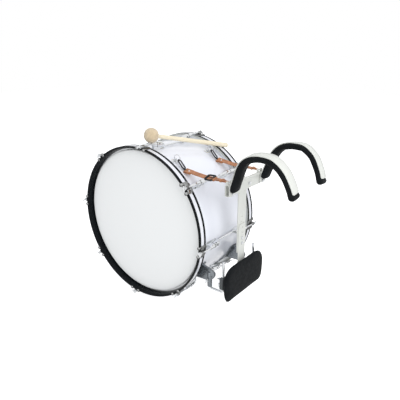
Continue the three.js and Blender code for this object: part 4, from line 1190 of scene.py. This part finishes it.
ARM_FOOT = Vector((0, -374.3 * MM, 178.542 * MM))
ARM_LEAN = 5.3
PLATE_REAR = -356 * MM
BELLY_LEVEL = -162.95 * MM
ADJUST_HEIGHTS = (63.45, 42.85, 22.25, 1.65, -18.95, -39.55)
CROSSBAR_FRONT, CROSSBAR_REAR = -374 * MM, -356 * MM
CROSSBAR_LOW, CROSSBAR_TOP = 168.44 * MM, 209.44 * MM
CROSSBAR_HALF = 112 * MM
BAIL = Vector((0, -362.5 * MM, 216.94 * MM))
MIDDLE_BOLT = (12 * MM, 188.94 * MM)
UPRIGHT_PLANE, UPRIGHT_LOW, UPRIGHT_TOP = -351.7 * MM, -71.95 * MM, 206.94 * MM
SLOT_LOW, SLOT_TOP = -42.85 * MM, 25.55 * MM
FOOT_BOLT_PLANE, HEIGHT_BOLT_PLANE, BOLT_END_PLANE = -378.6 * MM, -359.2 * MM, -351.5 * MM
BELLY_PAD_PLANE = -359.4 * MM


class DRUM_OT_frame(Operator):
    """Upright bar and crossbar with their bolts"""

    bl_idname = "drum.frame"
    bl_label = "Upright and Crossbar"

    def execute(self, context):
        carrier = context.scene.carrier_sizes
        middle = (UPRIGHT_LOW + UPRIGHT_TOP) / 2
        outline = [(x, z + middle) for x, z in rounded(50 * MM, UPRIGHT_TOP - UPRIGHT_LOW, 2.5 * MM, 4)]
        half = 3.3 * MM
        slit = circle(half, 10, 0, math.pi, (0, SLOT_TOP - half))
        slit += circle(half, 10, math.pi, 2 * math.pi, (0, SLOT_LOW + half))
        holes = [slit, hole(3.3 * MM, MIDDLE_BOLT)]
        holes += [hole(2.75 * MM, (0, z * MM), 20) for z in ADJUST_HEIGHTS[:2]]
        bar = facing(sheet_form(outline, 4 * MM, holes), UPRIGHT_PLANE)
        piece("upright", bar, ["carrier_paint"], "carrier_frame", ["upright_bar"], bevel=0.7 * MM)

        def ring(x, grow, corner):
            depth, tall = CROSSBAR_REAR - CROSSBAR_FRONT - 2 * grow, CROSSBAR_TOP - CROSSBAR_LOW - 2 * grow
            y, z = (CROSSBAR_FRONT + CROSSBAR_REAR) / 2, (CROSSBAR_LOW + CROSSBAR_TOP) / 2
            return [Vector((x, y + u, z + v)) for u, v in rounded(depth, tall, corner, 6)]
        end = CROSSBAR_HALF
        tube = skin([ring(-end, 0, 6 * MM), ring(end, 0, 6 * MM), ring(end, 2.5 * MM, 3.5 * MM),
                     ring(-end, 2.5 * MM, 3.5 * MM)], closed=True)
        for _, side in SIDES:
            x = side * carrier.strap_spread
            for post in (-1, 1):
                centre = x + post * (carrier.strap_width / 2 + 2.1 * MM)
                ear = [(BAIL.y + y, CROSSBAR_TOP - 1 * MM) for y in (-4.5 * MM, 4.5 * MM)]
                ear += circle(4.5 * MM, 12, 0, math.pi, (BAIL.y, BAIL.z))
                tube.add(slab(ear, centre - 1.5 * MM, centre + 1.5 * MM))
            reach = carrier.strap_width / 2 + 4.6 * MM
            pin = lathe([
                (-reach, 0), (-reach, 2.9 * MM), (-reach + 1 * MM, 3.2 * MM), (-reach + 1 * MM, 2.5 * MM),
                (reach - 1 * MM, 2.5 * MM), (reach - 1 * MM, 3.2 * MM), (reach, 2.9 * MM), (reach, 0)], 20,
                closed=False)
            tube.add(pin, shift(x, BAIL.y, BAIL.z))
        piece("crossbar_tube", tube, ["carrier_paint"], "carrier_frame", ["crossbar"],
              bevel=0.5 * MM)
        bolt = through_bolt(CROSSBAR_FRONT - 0.2 * MM, 3.6 * MM).moved(shift(MIDDLE_BOLT[0], 0, MIDDLE_BOLT[1]))
        piece("middle_bolt", bolt, ["chrome"], "carrier_frame", ["crossbar_bolt"], bevel=0.3 * MM)
        for side_name, side in SIDES:
            bolt = facing(hex_bolt(6 * MM, 3.4 * MM), FOOT_BOLT_PLANE)
            bolt = bolt.moved(shift(side * carrier.strap_spread, 0, ARM_FOOT.z))
            piece(f"{side_name}_foot_bolt", bolt, ["chrome"], "carrier_frame",
                  [f"{side_name}_arm_bolt"], bevel=0.3 * MM)
        return {"FINISHED"}


def arm_place(side, carrier):
    """Moves an arm that is drawn upright at x = 0 to its side, leaning outwards from its foot."""
    up = shift(z=ARM_FOOT.z)
    return shift(x=side * carrier.strap_spread) @ up @ turn(side * ARM_LEAN, "Y") @ shift(z=-ARM_FOOT.z)


def strip_section(width, thickness):
    """Section of the metal strip below its outer line, with round edges."""
    w, c = width / 2, thickness * 0.35
    return [(-w, -c), (-w, -thickness + c), (-w + c, -thickness), (w - c, -thickness), (w, -thickness + c),
            (w, -c), (w - c, 0), (-w + c, 0)]


def pad_section(width, deep, scale, cover):
    """Section of a shoulder pad from the strip inwards: drawn-in back, round edges and a crowned inner face.

    Where the strip has ended, cover raises the back to the strip's outer line.
    """
    half = width / 2
    rows = [
        (-0.95, 0.02), (-0.5, 0), (0, 0), (0.5, 0), (0.95, 0.02), (1.0, 0.12), (0.995, 0.3), (0.97, 0.5),
        (0.965, 0.66), (0.93, 0.8), (0.84, 0.895), (0.66, 0.945), (0.36, 0.985), (0, 1.0)]
    rows += [(-u, v) for u, v in reversed(rows[5:13])]
    points = []
    middle = -4.3 * MM - deep * 0.5 + cover / 2
    for u, v in rows:
        depth = -4.3 * MM - deep * v + (cover * (1 - v / 0.5) if v < 0.5 else 0)
        points.append((half * u * (0.5 + 0.5 * scale), middle + (depth - middle) * scale))
    return points


# An arm's line is cut into steps. The strip ends short of the pad's tail, and both of its ends narrow; the pad
# starts behind the strip's foot and runs past the end of the line.
ARM_STEPS = 130
STRIP_SHARE, PAD_START = 0.958, 0.035
STRIP_TAPER, STRIP_TIP = 9 * MM, 0.72
PAD_TAIL = (3 * MM, 6 * MM)


class DRUM_OT_arms(Operator):
    """Shoulder arms: bent strips and their thick pads"""

    bl_idname = "drum.arms"
    bl_label = "Shoulder Arms"

    def execute(self, context):
        carrier = context.scene.carrier_sizes
        line = smooth_line(side_line(ARM_LINE), ARM_STEPS)
        last = len(line) - 1
        for side_name, side in SIDES:
            body = f"{side_name}_arm"
            place = arm_place(side, carrier)
            metal = line[:round(last * STRIP_SHARE) + 1]

            def outline(t, count=len(metal) - 1):
                near_end = min(t, 1 - t) * count * 5 * MM
                share_in = math.sqrt(max(0, min(1, near_end / STRIP_TAPER)))
                return strip_section(
                    carrier.strip_width * (STRIP_TIP + (1 - STRIP_TIP) * share_in), carrier.strip_thickness)
            strip = sweep(metal, outline, (1, 0, 0)).moved(place)
            piece(f"{side_name}_arm_strip", strip, ["carrier_paint"], body,
                  [f"{side_name}_shoulder_strip"], sharp=50)

            tail = (line[-1] - line[-4]).normalized()
            soft = line[round(last * PAD_START):] + [line[-1] + tail * reach for reach in PAD_TAIL]
            count = len(soft) - 1

            def cushion(t, count=count):
                front, back = t * count, (1 - t) * count
                steps = min(front / 3.2, back / 4.2) + 0.1
                scale = math.sqrt(max(0.0, 1 - (1 - min(1.0, steps)) ** 2))
                cover = 6 * MM * max(0.0, min(1.0, (6.5 - back) / 2.5))
                return pad_section(carrier.pad_width, carrier.pad_thickness, scale, cover)
            form = sweep(soft, cushion, (1, 0, 0)).moved(place)
            pad = piece(f"{side_name}_arm_pad", form, ["pad_skin"], body,
                        [f"{side_name}_shoulder_pad"], sharp=180, swell=SHOULDER_SWELL)
        return {"FINISHED"}


def pad_outline(width, height, upper, lower, taper):
    """Front view of the belly pad: large round upper corners, smaller lower ones."""
    foot, quarter = width / 2 - taper, math.pi / 2
    points = []
    corners = (
        (foot - lower, -1, lower), (width / 2 - upper, 1, upper), (-width / 2 + upper, 1, upper),
        (-foot + lower, -1, lower))
    for k, (x, end, radius) in enumerate(corners):
        centre = (x, end * (height / 2 - radius))
        points += circle(radius, 10, (k - 1) * quarter, k * quarter, centre)
    return [tuple(p) for p in evenly([Vector(p) for p in points + points[:1]], 120, 120)]


# Side of the belly pad from its back to its front, as (millimetres drawn in, share of its depth)
BELLY_PAD_EDGE = (
    (50, 0.0), (27, 0.01), (22, 0.06), (18, 0.18), (14.4, 0.34), (11.4, 0.5), (8.4, 0.66), (5.8, 0.8), (3.2, 0.94),
    (1.8, 1.04), (2, 1.12), (4.6, 1.19), (9.5, 1.235), (17, 1.26), (28, 1.28), (42, 1.29), (60, 1.3),
)


class DRUM_OT_belly(Operator):
    """Belly plate with its tongue and bolts, and the belly pad"""

    bl_idname = "drum.belly"
    bl_label = "Belly Plate and Pad"

    def execute(self, context):
        carrier = context.scene.carrier_sizes
        width = 2 * (carrier.hook_spread + 6.5 * MM)
        tongue_top = BELLY_LEVEL + 199 * MM
        plate_top = BELLY_LEVEL + 49 * MM
        half, fillet, corner = 21.5 * MM, 12 * MM, 6 * MM
        sheet = pad_outline(width, 104 * MM, 47 * MM, 34 * MM, 0)
        start = next(k for k, (x, z) in enumerate(sheet) if z > 0)
        sheet = [(x, z + plate_top - 52 * MM) for x, z in sheet[start:] + sheet[:start]]
        upper = [p for p in sheet if p[0] > half + fillet and p[1] > BELLY_LEVEL]
        lower = [p for p in sheet if p[1] <= BELLY_LEVEL]
        left = [p for p in sheet if p[0] < -half - fillet and p[1] > BELLY_LEVEL]
        neck = [(half + fillet, plate_top)]
        neck += circle(fillet, 6, -math.pi / 2, -math.pi, (half + fillet, plate_top + fillet))[1:]
        neck += circle(corner, 5, 0, math.pi / 2, (half - corner, tongue_top - corner))
        mirror = [(-x, z) for x, z in reversed(neck)]
        outline = upper + neck + mirror + left + lower
        holes = [hole(2.75 * MM, (0, z * MM), 20) for z in ADJUST_HEIGHTS[2:4]]
        holes += [hole(3.3 * MM, (0, z * MM), 20) for z in ADJUST_HEIGHTS[4:]]
        plate = facing(sheet_form(outline, 3 * MM, holes), PLATE_REAR)
        piece("belly_sheet", plate, ["carrier_paint"], "belly_unit", ["belly_plate"],
              bevel=0.6 * MM)
        for k, z in enumerate(ADJUST_HEIGHTS[4:]):
            bolt = through_bolt(HEIGHT_BOLT_PLANE, 3.4 * MM).moved(shift(z=z * MM))
            piece(f"height_bolt_{k + 1}", bolt, ["chrome"], "belly_unit",
                  [f"plate_bolt_{k + 1}"], bevel=0.3 * MM)

        outline = pad_outline(carrier.belly_pad_width, carrier.belly_pad_height, 66 * MM, 31 * MM, 4 * MM)

        deep = carrier.belly_pad_thickness

        def ring(inset, depth):
            x, z = 1 - 2 * inset * MM / carrier.belly_pad_width, 1 - 2 * inset * MM / carrier.belly_pad_height
            return [Vector((u * x, BELLY_PAD_PLANE - depth * deep, BELLY_LEVEL + v * z)) for u, v in outline]
        rings = [ring(inset, depth) for inset, depth in BELLY_PAD_EDGE]
        pad = piece("belly_cushion", skin(rings), ["pad_skin"], "belly_unit", ["belly_pad"],
                    sharp=180, swell=BELLY_SWELL)
        return {"FINISHED"}


# Clamps, hook rods and drum brackets

CLAMP_FRONT = -355.7 * MM
CLAMP_DEPTH = 14 * MM
CLAMP_HEIGHT = 46 * MM
CLAMP_DROP = 2 * MM
ROD_Y = -348.7 * MM
SLEEVE_Y = -289.7 * MM
SLEEVE_TOP = BELLY_LEVEL + 26 * MM
SLEEVE_LENGTH = 60 * MM
SLEEVE_RADIUS, SLEEVE_RIM, SLEEVE_BORE = 9 * MM, 8.2 * MM, 5.1 * MM
CLAMP_SCREW_RISE = 13 * MM
WING_LENGTH = 6 * MM


def arc(centre, radius, start, end, steps):
    """Points on an arc in the YZ plane; angles in degrees."""
    return [
        Vector((0, centre[0] + radius * math.cos(math.radians(start + (end - start) * k / steps)),
                centre[1] + radius * math.sin(math.radians(start + (end - start) * k / steps))))
        for k in range(steps + 1)]


def hook_rod_form(radius):
    """A rod down from the clamp, across below and up into the sleeve, with rounded ends."""
    top, low, tip = BELLY_LEVEL + 83 * MM, BELLY_LEVEL - 40 * MM, BELLY_LEVEL + 5 * MM
    bend = 10 * MM
    line = [Vector((0, ROD_Y, top)), Vector((0, ROD_Y, top - 1.2 * MM))]
    line += [Vector((0, ROD_Y, top - 30 * MM * k)) for k in (1, 2)]
    line += arc((ROD_Y + bend, low + bend), bend, 180, 270, 10)
    line += arc((SLEEVE_Y - bend, low + bend), bend, 270, 360, 10)
    line += [Vector((0, SLEEVE_Y, tip - 1.2 * MM)), Vector((0, SLEEVE_Y, tip))]
    last = len(line) - 1

    def section(t):
        narrow = 0.78 if round(t * last) in (0, last) else 1.0
        return circle(radius * narrow, 18)
    return sweep(line, section, (1, 0, 0))


def on_shell(angle, radius):
    """The (y, z) of a place round the drum, its angle counted in degrees from the top towards the player."""
    return -radius * math.sin(math.radians(angle)), radius * math.cos(math.radians(angle))


def bracket_form(sizes):
    """Saddle on the shell, a plate that stands out from it, and the post whose bore takes the hook rod."""
    inner, thick = sizes.shell_radius + 0.2 * MM, 4 * MM
    start, end = 114.5, 134.5
    angles = [start + (end - start) * k / 10 for k in range(11)]
    outline = [on_shell(a, inner) for a in angles] + [on_shell(a, inner + thick) for a in reversed(angles)]
    form = slab(outline, -20 * MM, 20 * MM)
    root = [on_shell(a, inner + thick - 1 * MM) for a in angles[:8]]
    reach = 346 * MM
    web = root[::-1] + [on_shell(113.2, 0.95 * reach)]
    edge = ((113.5, 0.975), (114.2, 0.993), (115.5, 1), (117.5, 1), (119.2, 0.99))
    web += [on_shell(a, share_out * reach) for a, share_out in edge]
    web += [(SLEEVE_Y, SLEEVE_TOP - 37 * MM)]
    form.add(slab(web, -4.5 * MM, 4.5 * MM))
    low = SLEEVE_TOP - SLEEVE_LENGTH
    sleeve = lathe([
        (low, SLEEVE_BORE), (low, SLEEVE_RIM), (low + 0.8 * MM, SLEEVE_RADIUS),
        (SLEEVE_TOP - 0.8 * MM, SLEEVE_RADIUS), (SLEEVE_TOP, SLEEVE_RIM), (SLEEVE_TOP, SLEEVE_BORE)], 32)
    form.add(sleeve, shift(y=SLEEVE_Y) @ turn(-90, "Y"))
    for x in (-13 * MM, 13 * MM):
        for a in (118, 131):
            y, z = on_shell(a, inner + thick - 0.2 * MM)
            form.add(dome_screw(3.4 * MM, 1.8 * MM), shift(x, y, z) @ turn(a, "X"))
    return form


def clamp_form():
    """A moulded block with round corners, behind the belly plate."""
    block_form = facing(sheet_form(rounded(26 * MM, CLAMP_HEIGHT, 5 * MM, 5), CLAMP_DEPTH), 0)
    return block_form.moved(shift(y=CLAMP_FRONT + CLAMP_DEPTH, z=BELLY_LEVEL - CLAMP_DROP))


class DRUM_OT_hooks(Operator):
    """Clamps on the belly plate, hook rods and the brackets on the shell"""

    bl_idname = "drum.hooks"
    bl_label = "Clamps and Hook Rods"

    def execute(self, context):
        sizes, carrier = context.scene.drum_sizes, context.scene.carrier_sizes
        radius = carrier.hook_rod_diameter / 2
        for side_name, side in SIDES:
            spot = shift(x=side * carrier.hook_spread)
            forms = hook_rod_form(radius), bracket_form(sizes), clamp_form()
            bar, bracket, clamp = (form.moved(spot) for form in forms)
            piece(f"{side_name}_hook_bar", bar, ["chrome"], "drum", [f"{side_name}_hook_rod"], sharp=50)
            piece(f"{side_name}_shell_bracket", bracket, ["zinc_plate"], "drum",
                  [f"{side_name}_drum_bracket"], bevel=0.8 * MM, sharp=35)
            piece(f"{side_name}_clamp_block", clamp, ["black_plastic"], "belly_unit",
                  [f"{side_name}_clamp"], bevel=0.9 * MM)
            rear = CLAMP_FRONT + CLAMP_DEPTH
            level = BELLY_LEVEL - CLAMP_DROP
            for k, z in enumerate((CLAMP_SCREW_RISE, -CLAMP_SCREW_RISE)):
                washer = lathe([(0, 3 * MM), (0, 7.5 * MM), (1.2 * MM, 7.5 * MM), (1.2 * MM, 3 * MM)], 28)
                washer = washer.moved(spot @ shift(0, rear + 0.1 * MM, level + z) @ turn(90, "Z"))
                piece(f"{side_name}_washer_{k + 1}", washer, ["aluminium"], "belly_unit",
                      bevel=0.2 * MM)
                screw = wing_screw(CLAMP_DEPTH / 2 - radius + WING_LENGTH, (25, 75)[k])
                screw = screw.moved(spot @ shift(0, ROD_Y + radius + 0.3 * MM, level + z) @ turn(90, "Z"))
                name = f"{side_name}_clamp_screw_{k + 1}"
                piece(f"{side_name}_clamp_wing_{k + 1}", screw, ["chrome"], name, [name],
                      bevel=0.4 * MM)
            screw = wing_screw(SLEEVE_RADIUS - radius + WING_LENGTH, 60)
            flip = turn(0 if side > 0 else 180, "Z")
            screw = screw.moved(spot @ shift(side * (radius + 0.3 * MM), SLEEVE_Y, BELLY_LEVEL - 5 * MM) @ flip)
            name = f"{side_name}_bracket_screw"
            piece(f"{side_name}_bracket_wing", screw, ["chrome"], name, [name], bevel=0.4 * MM)
        return {"FINISHED"}


class DRUM_OT_mallet(Operator):
    """Mallet with its felt head and tapered wooden shaft"""

    bl_idname = "drum.mallet"
    bl_label = "Mallet"

    def execute(self, context):
        carrier = context.scene.carrier_sizes
        seat = Vector((-119, -37.61, 335.3)) * MM
        along = Vector((0.90603, -0.36395, -0.21599)).normalized()
        place = Matrix.Translation(seat) @ along.to_track_quat("X", "Z").to_matrix().to_4x4()
        radius, half = carrier.mallet_head / 2, 26 * MM
        turns = [math.pi * k / 40 for k in range(1, 40)]
        rows = [(-half, 0), *[(-half * math.cos(a), radius * math.sin(a) ** 0.86) for a in turns], (half, 0)]
        ball = lathe(rows, 56, closed=False)

        def felt(p):
            rough = noise.noise(p * 130) * 0.55 + noise.noise(p * 340) * 0.3
            return p * (1 + rough * 0.028)
        head = piece("felt_head", ball.mapped(felt).moved(place), ["felt"], "mallet",
                     ["mallet_head"], sharp=180)
        neck, butt = carrier.mallet_neck / 2, carrier.mallet_butt / 2
        start, end = half - 3 * MM, 336 * MM
        shaft = [(start - 4 * MM, 0), (start - 4 * MM, neck), (start, neck)]
        shaft += [(start + (end - start) * k / 12, neck + (butt - neck) * k / 12) for k in range(1, 12)]
        shaft += [(end - 5 * MM, butt * 0.99), (end - 2 * MM, butt * 0.9), (end - 0.6 * MM, butt * 0.72), (end, 0)]
        piece("shaft", lathe(shaft, 40, closed=False).moved(place), ["pale_wood"], "mallet",
              ["mallet_shaft"], sharp=60)
        return {"FINISHED"}


# Stage

FLOOR_REACH = 8.0
ROOM_TINT = (0.95, 0.97, 1.0, 1)
WHITE = (1, 1, 1, 1)

# Lamps: name, place from the drum's middle and width, all in metres
LAMPS = (("key", (-0.6, -1.9, 1.2), 1.8), ("fill", (-2.3, 0.2, 0.8), 1.6), ("top", (0.3, 0.2, 2.2), 1.8))


def source(tree, kind, tone, strength=None):
    """The output of a shader of one colour and strength."""
    node = tree.nodes.new("ShaderNode" + kind)
    node.inputs["Color"].default_value = tone
    if strength is not None:
        node.inputs["Strength"].default_value = strength
    return node.outputs[0]


def joined(tree, kind, first, second, share_socket=None):
    """The output of a node that adds two shaders, or mixes them by a share."""
    node = tree.nodes.new("ShaderNode" + kind)
    sockets = [first, second] if share_socket is None else [share_socket, first, second]
    for socket, value in zip(node.inputs, sockets):
        tree.links.new(value, socket)
    return node.outputs[0]


def rays(tree, *kinds):
    """One for rays of the given kinds and nothing for the rest."""
    path = tree.nodes.new("ShaderNodeLightPath")
    total = path.outputs[f"Is {kinds[0]} Ray"]
    for kind in kinds[1:]:
        node = tree.nodes.new("ShaderNodeMath")
        node.operation = "MAXIMUM"
        tree.links.new(total, node.inputs[0])
        tree.links.new(path.outputs[f"Is {kind} Ray"], node.inputs[1])
        total = node.outputs[0]
    return total


def turned_pair(first, second, amount):
    """Two directions at right angles, turned in their plane from the first towards the second."""
    along, over = math.cos(amount), math.sin(amount)
    return first * along + second * over, second * along - first * over


class DRUM_OT_stage(Operator):
    """Floor, light and camera"""

    bl_idname = "drum.stage"
    bl_label = "Stage"

    def execute(self, context):
        scene = context.scene
        settings, colours = scene.drum_stage, scene.drum_colours
        floor_mesh = bpy.data.meshes.new("floor")
        corners = [(x * FLOOR_REACH, y * FLOOR_REACH, 0) for x, y in ((-1, -1), (1, -1), (1, 1), (-1, 1))]
        floor_mesh.from_pydata(corners, [], [(0, 1, 2, 3)])
        floor = bpy.data.objects.new("floor", floor_mesh)
        scene.collection.objects.link(floor)
        material = bpy.data.materials.new("floor")
        material.use_nodes = True
        tree = material.node_tree
        tree.nodes.clear()
        plain = source(tree, "BsdfDiffuse", (*colours.floor, 1))
        both = joined(tree, "AddShader", plain, source(tree, "Emission", WHITE, settings.floor_glow))
        shown = joined(tree, "MixShader", plain, both, rays(tree, "Camera"))
        white = source(tree, "Emission", WHITE, 1)
        shown = joined(tree, "MixShader", shown, white, rays(tree, "Glossy", "Transmission"))
        tree.links.new(shown, tree.nodes.new("ShaderNodeOutputMaterial").inputs["Surface"])
        floor_mesh.materials.append(material)

        scene.world = bpy.data.worlds.new("studio")
        scene.world.use_nodes = True
        tree = scene.world.node_tree
        tree.nodes.clear()
        room = source(tree, "Background", ROOM_TINT, settings.room_light)
        white = source(tree, "Background", WHITE, 1)
        shown = joined(tree, "MixShader", room, white, rays(tree, "Camera", "Glossy", "Transmission"))
        tree.links.new(shown, tree.nodes.new("ShaderNodeOutputWorld").inputs["Surface"])

        for name, spot, size in LAMPS:
            data = bpy.data.lights.new(name, "AREA")
            data.shape = "DISK"
            data.size = size
            data.energy = getattr(settings, f"{name}_light")
            lamp = bpy.data.objects.new(name, data)
            lamp.location = DRUM_CENTRE + Vector(spot)
            lamp.visible_glossy = False
            lamp.rotation_euler = (-Vector(spot)).to_track_quat("-Z", "Y").to_euler()
            scene.collection.objects.link(lamp)

        azimuth, elevation = settings.azimuth, settings.elevation
        back = Vector((
            math.sin(azimuth) * math.cos(elevation), -math.cos(azimuth) * math.cos(elevation),
            math.sin(elevation)))
        forward = -back
        right = forward.cross(Vector((0, 0, 1))).normalized()
        up = right.cross(forward)
        forward, right = turned_pair(forward, right, settings.turn)
        forward, up = turned_pair(forward, up, settings.tilt)
        right, up = turned_pair(right, up, settings.roll)
        data = bpy.data.cameras.new("camera")
        data.sensor_width = 36
        data.lens = settings.lens
        data.clip_start = 0.05
        camera = bpy.data.objects.new("camera", data)
        spot = Matrix((right, up, -forward)).transposed().to_4x4()
        camera.matrix_world = Matrix.Translation(DRUM_CENTRE + back * settings.distance) @ spot
        scene.collection.objects.link(camera)
        scene.camera = camera
        scene.view_settings.view_transform = "Standard"
        return {"FINISHED"}


class DRUM_PT_panel(Panel):
    """Sidebar panel that lists the pieces"""

    bl_idname = "DRUM_PT_panel"
    bl_label = "Marching Bass Drum"
    bl_space_type = "VIEW_3D"
    bl_region_type = "UI"
    bl_category = "Drum"

    def draw(self, context):
        column = self.layout.column(align=True)
        for operator in OPERATORS:
            column.operator(operator.bl_idname)


OPERATORS = (
    DRUM_OT_shell, DRUM_OT_heads, DRUM_OT_hoops, DRUM_OT_rods, DRUM_OT_strap_fittings, DRUM_OT_straps,
    DRUM_OT_frame, DRUM_OT_arms, DRUM_OT_belly, DRUM_OT_hooks, DRUM_OT_mallet, DRUM_OT_stage,
)
SETTINGS = (
    ("drum_sizes", DrumSizes), ("carrier_sizes", CarrierSizes), ("drum_colours", FinishColours),
    ("drum_stage", StageSettings),
)


def register():
    for name, group in SETTINGS:
        bpy.utils.register_class(group)
        setattr(bpy.types.Scene, name, PointerProperty(type=group))
    for operator in OPERATORS:
        bpy.utils.register_class(operator)
    bpy.utils.register_class(DRUM_PT_panel)


def unregister():
    bpy.utils.unregister_class(DRUM_PT_panel)
    for operator in reversed(OPERATORS):
        bpy.utils.unregister_class(operator)
    for name, group in reversed(SETTINGS):
        delattr(bpy.types.Scene, name)
        bpy.utils.unregister_class(group)


def main():
    """Builds every piece."""
    register()
    for operator in OPERATORS:
        group, name = operator.bl_idname.split(".")
        getattr(getattr(bpy.ops, group), name)()
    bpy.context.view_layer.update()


if __name__ == "__main__":
    main()
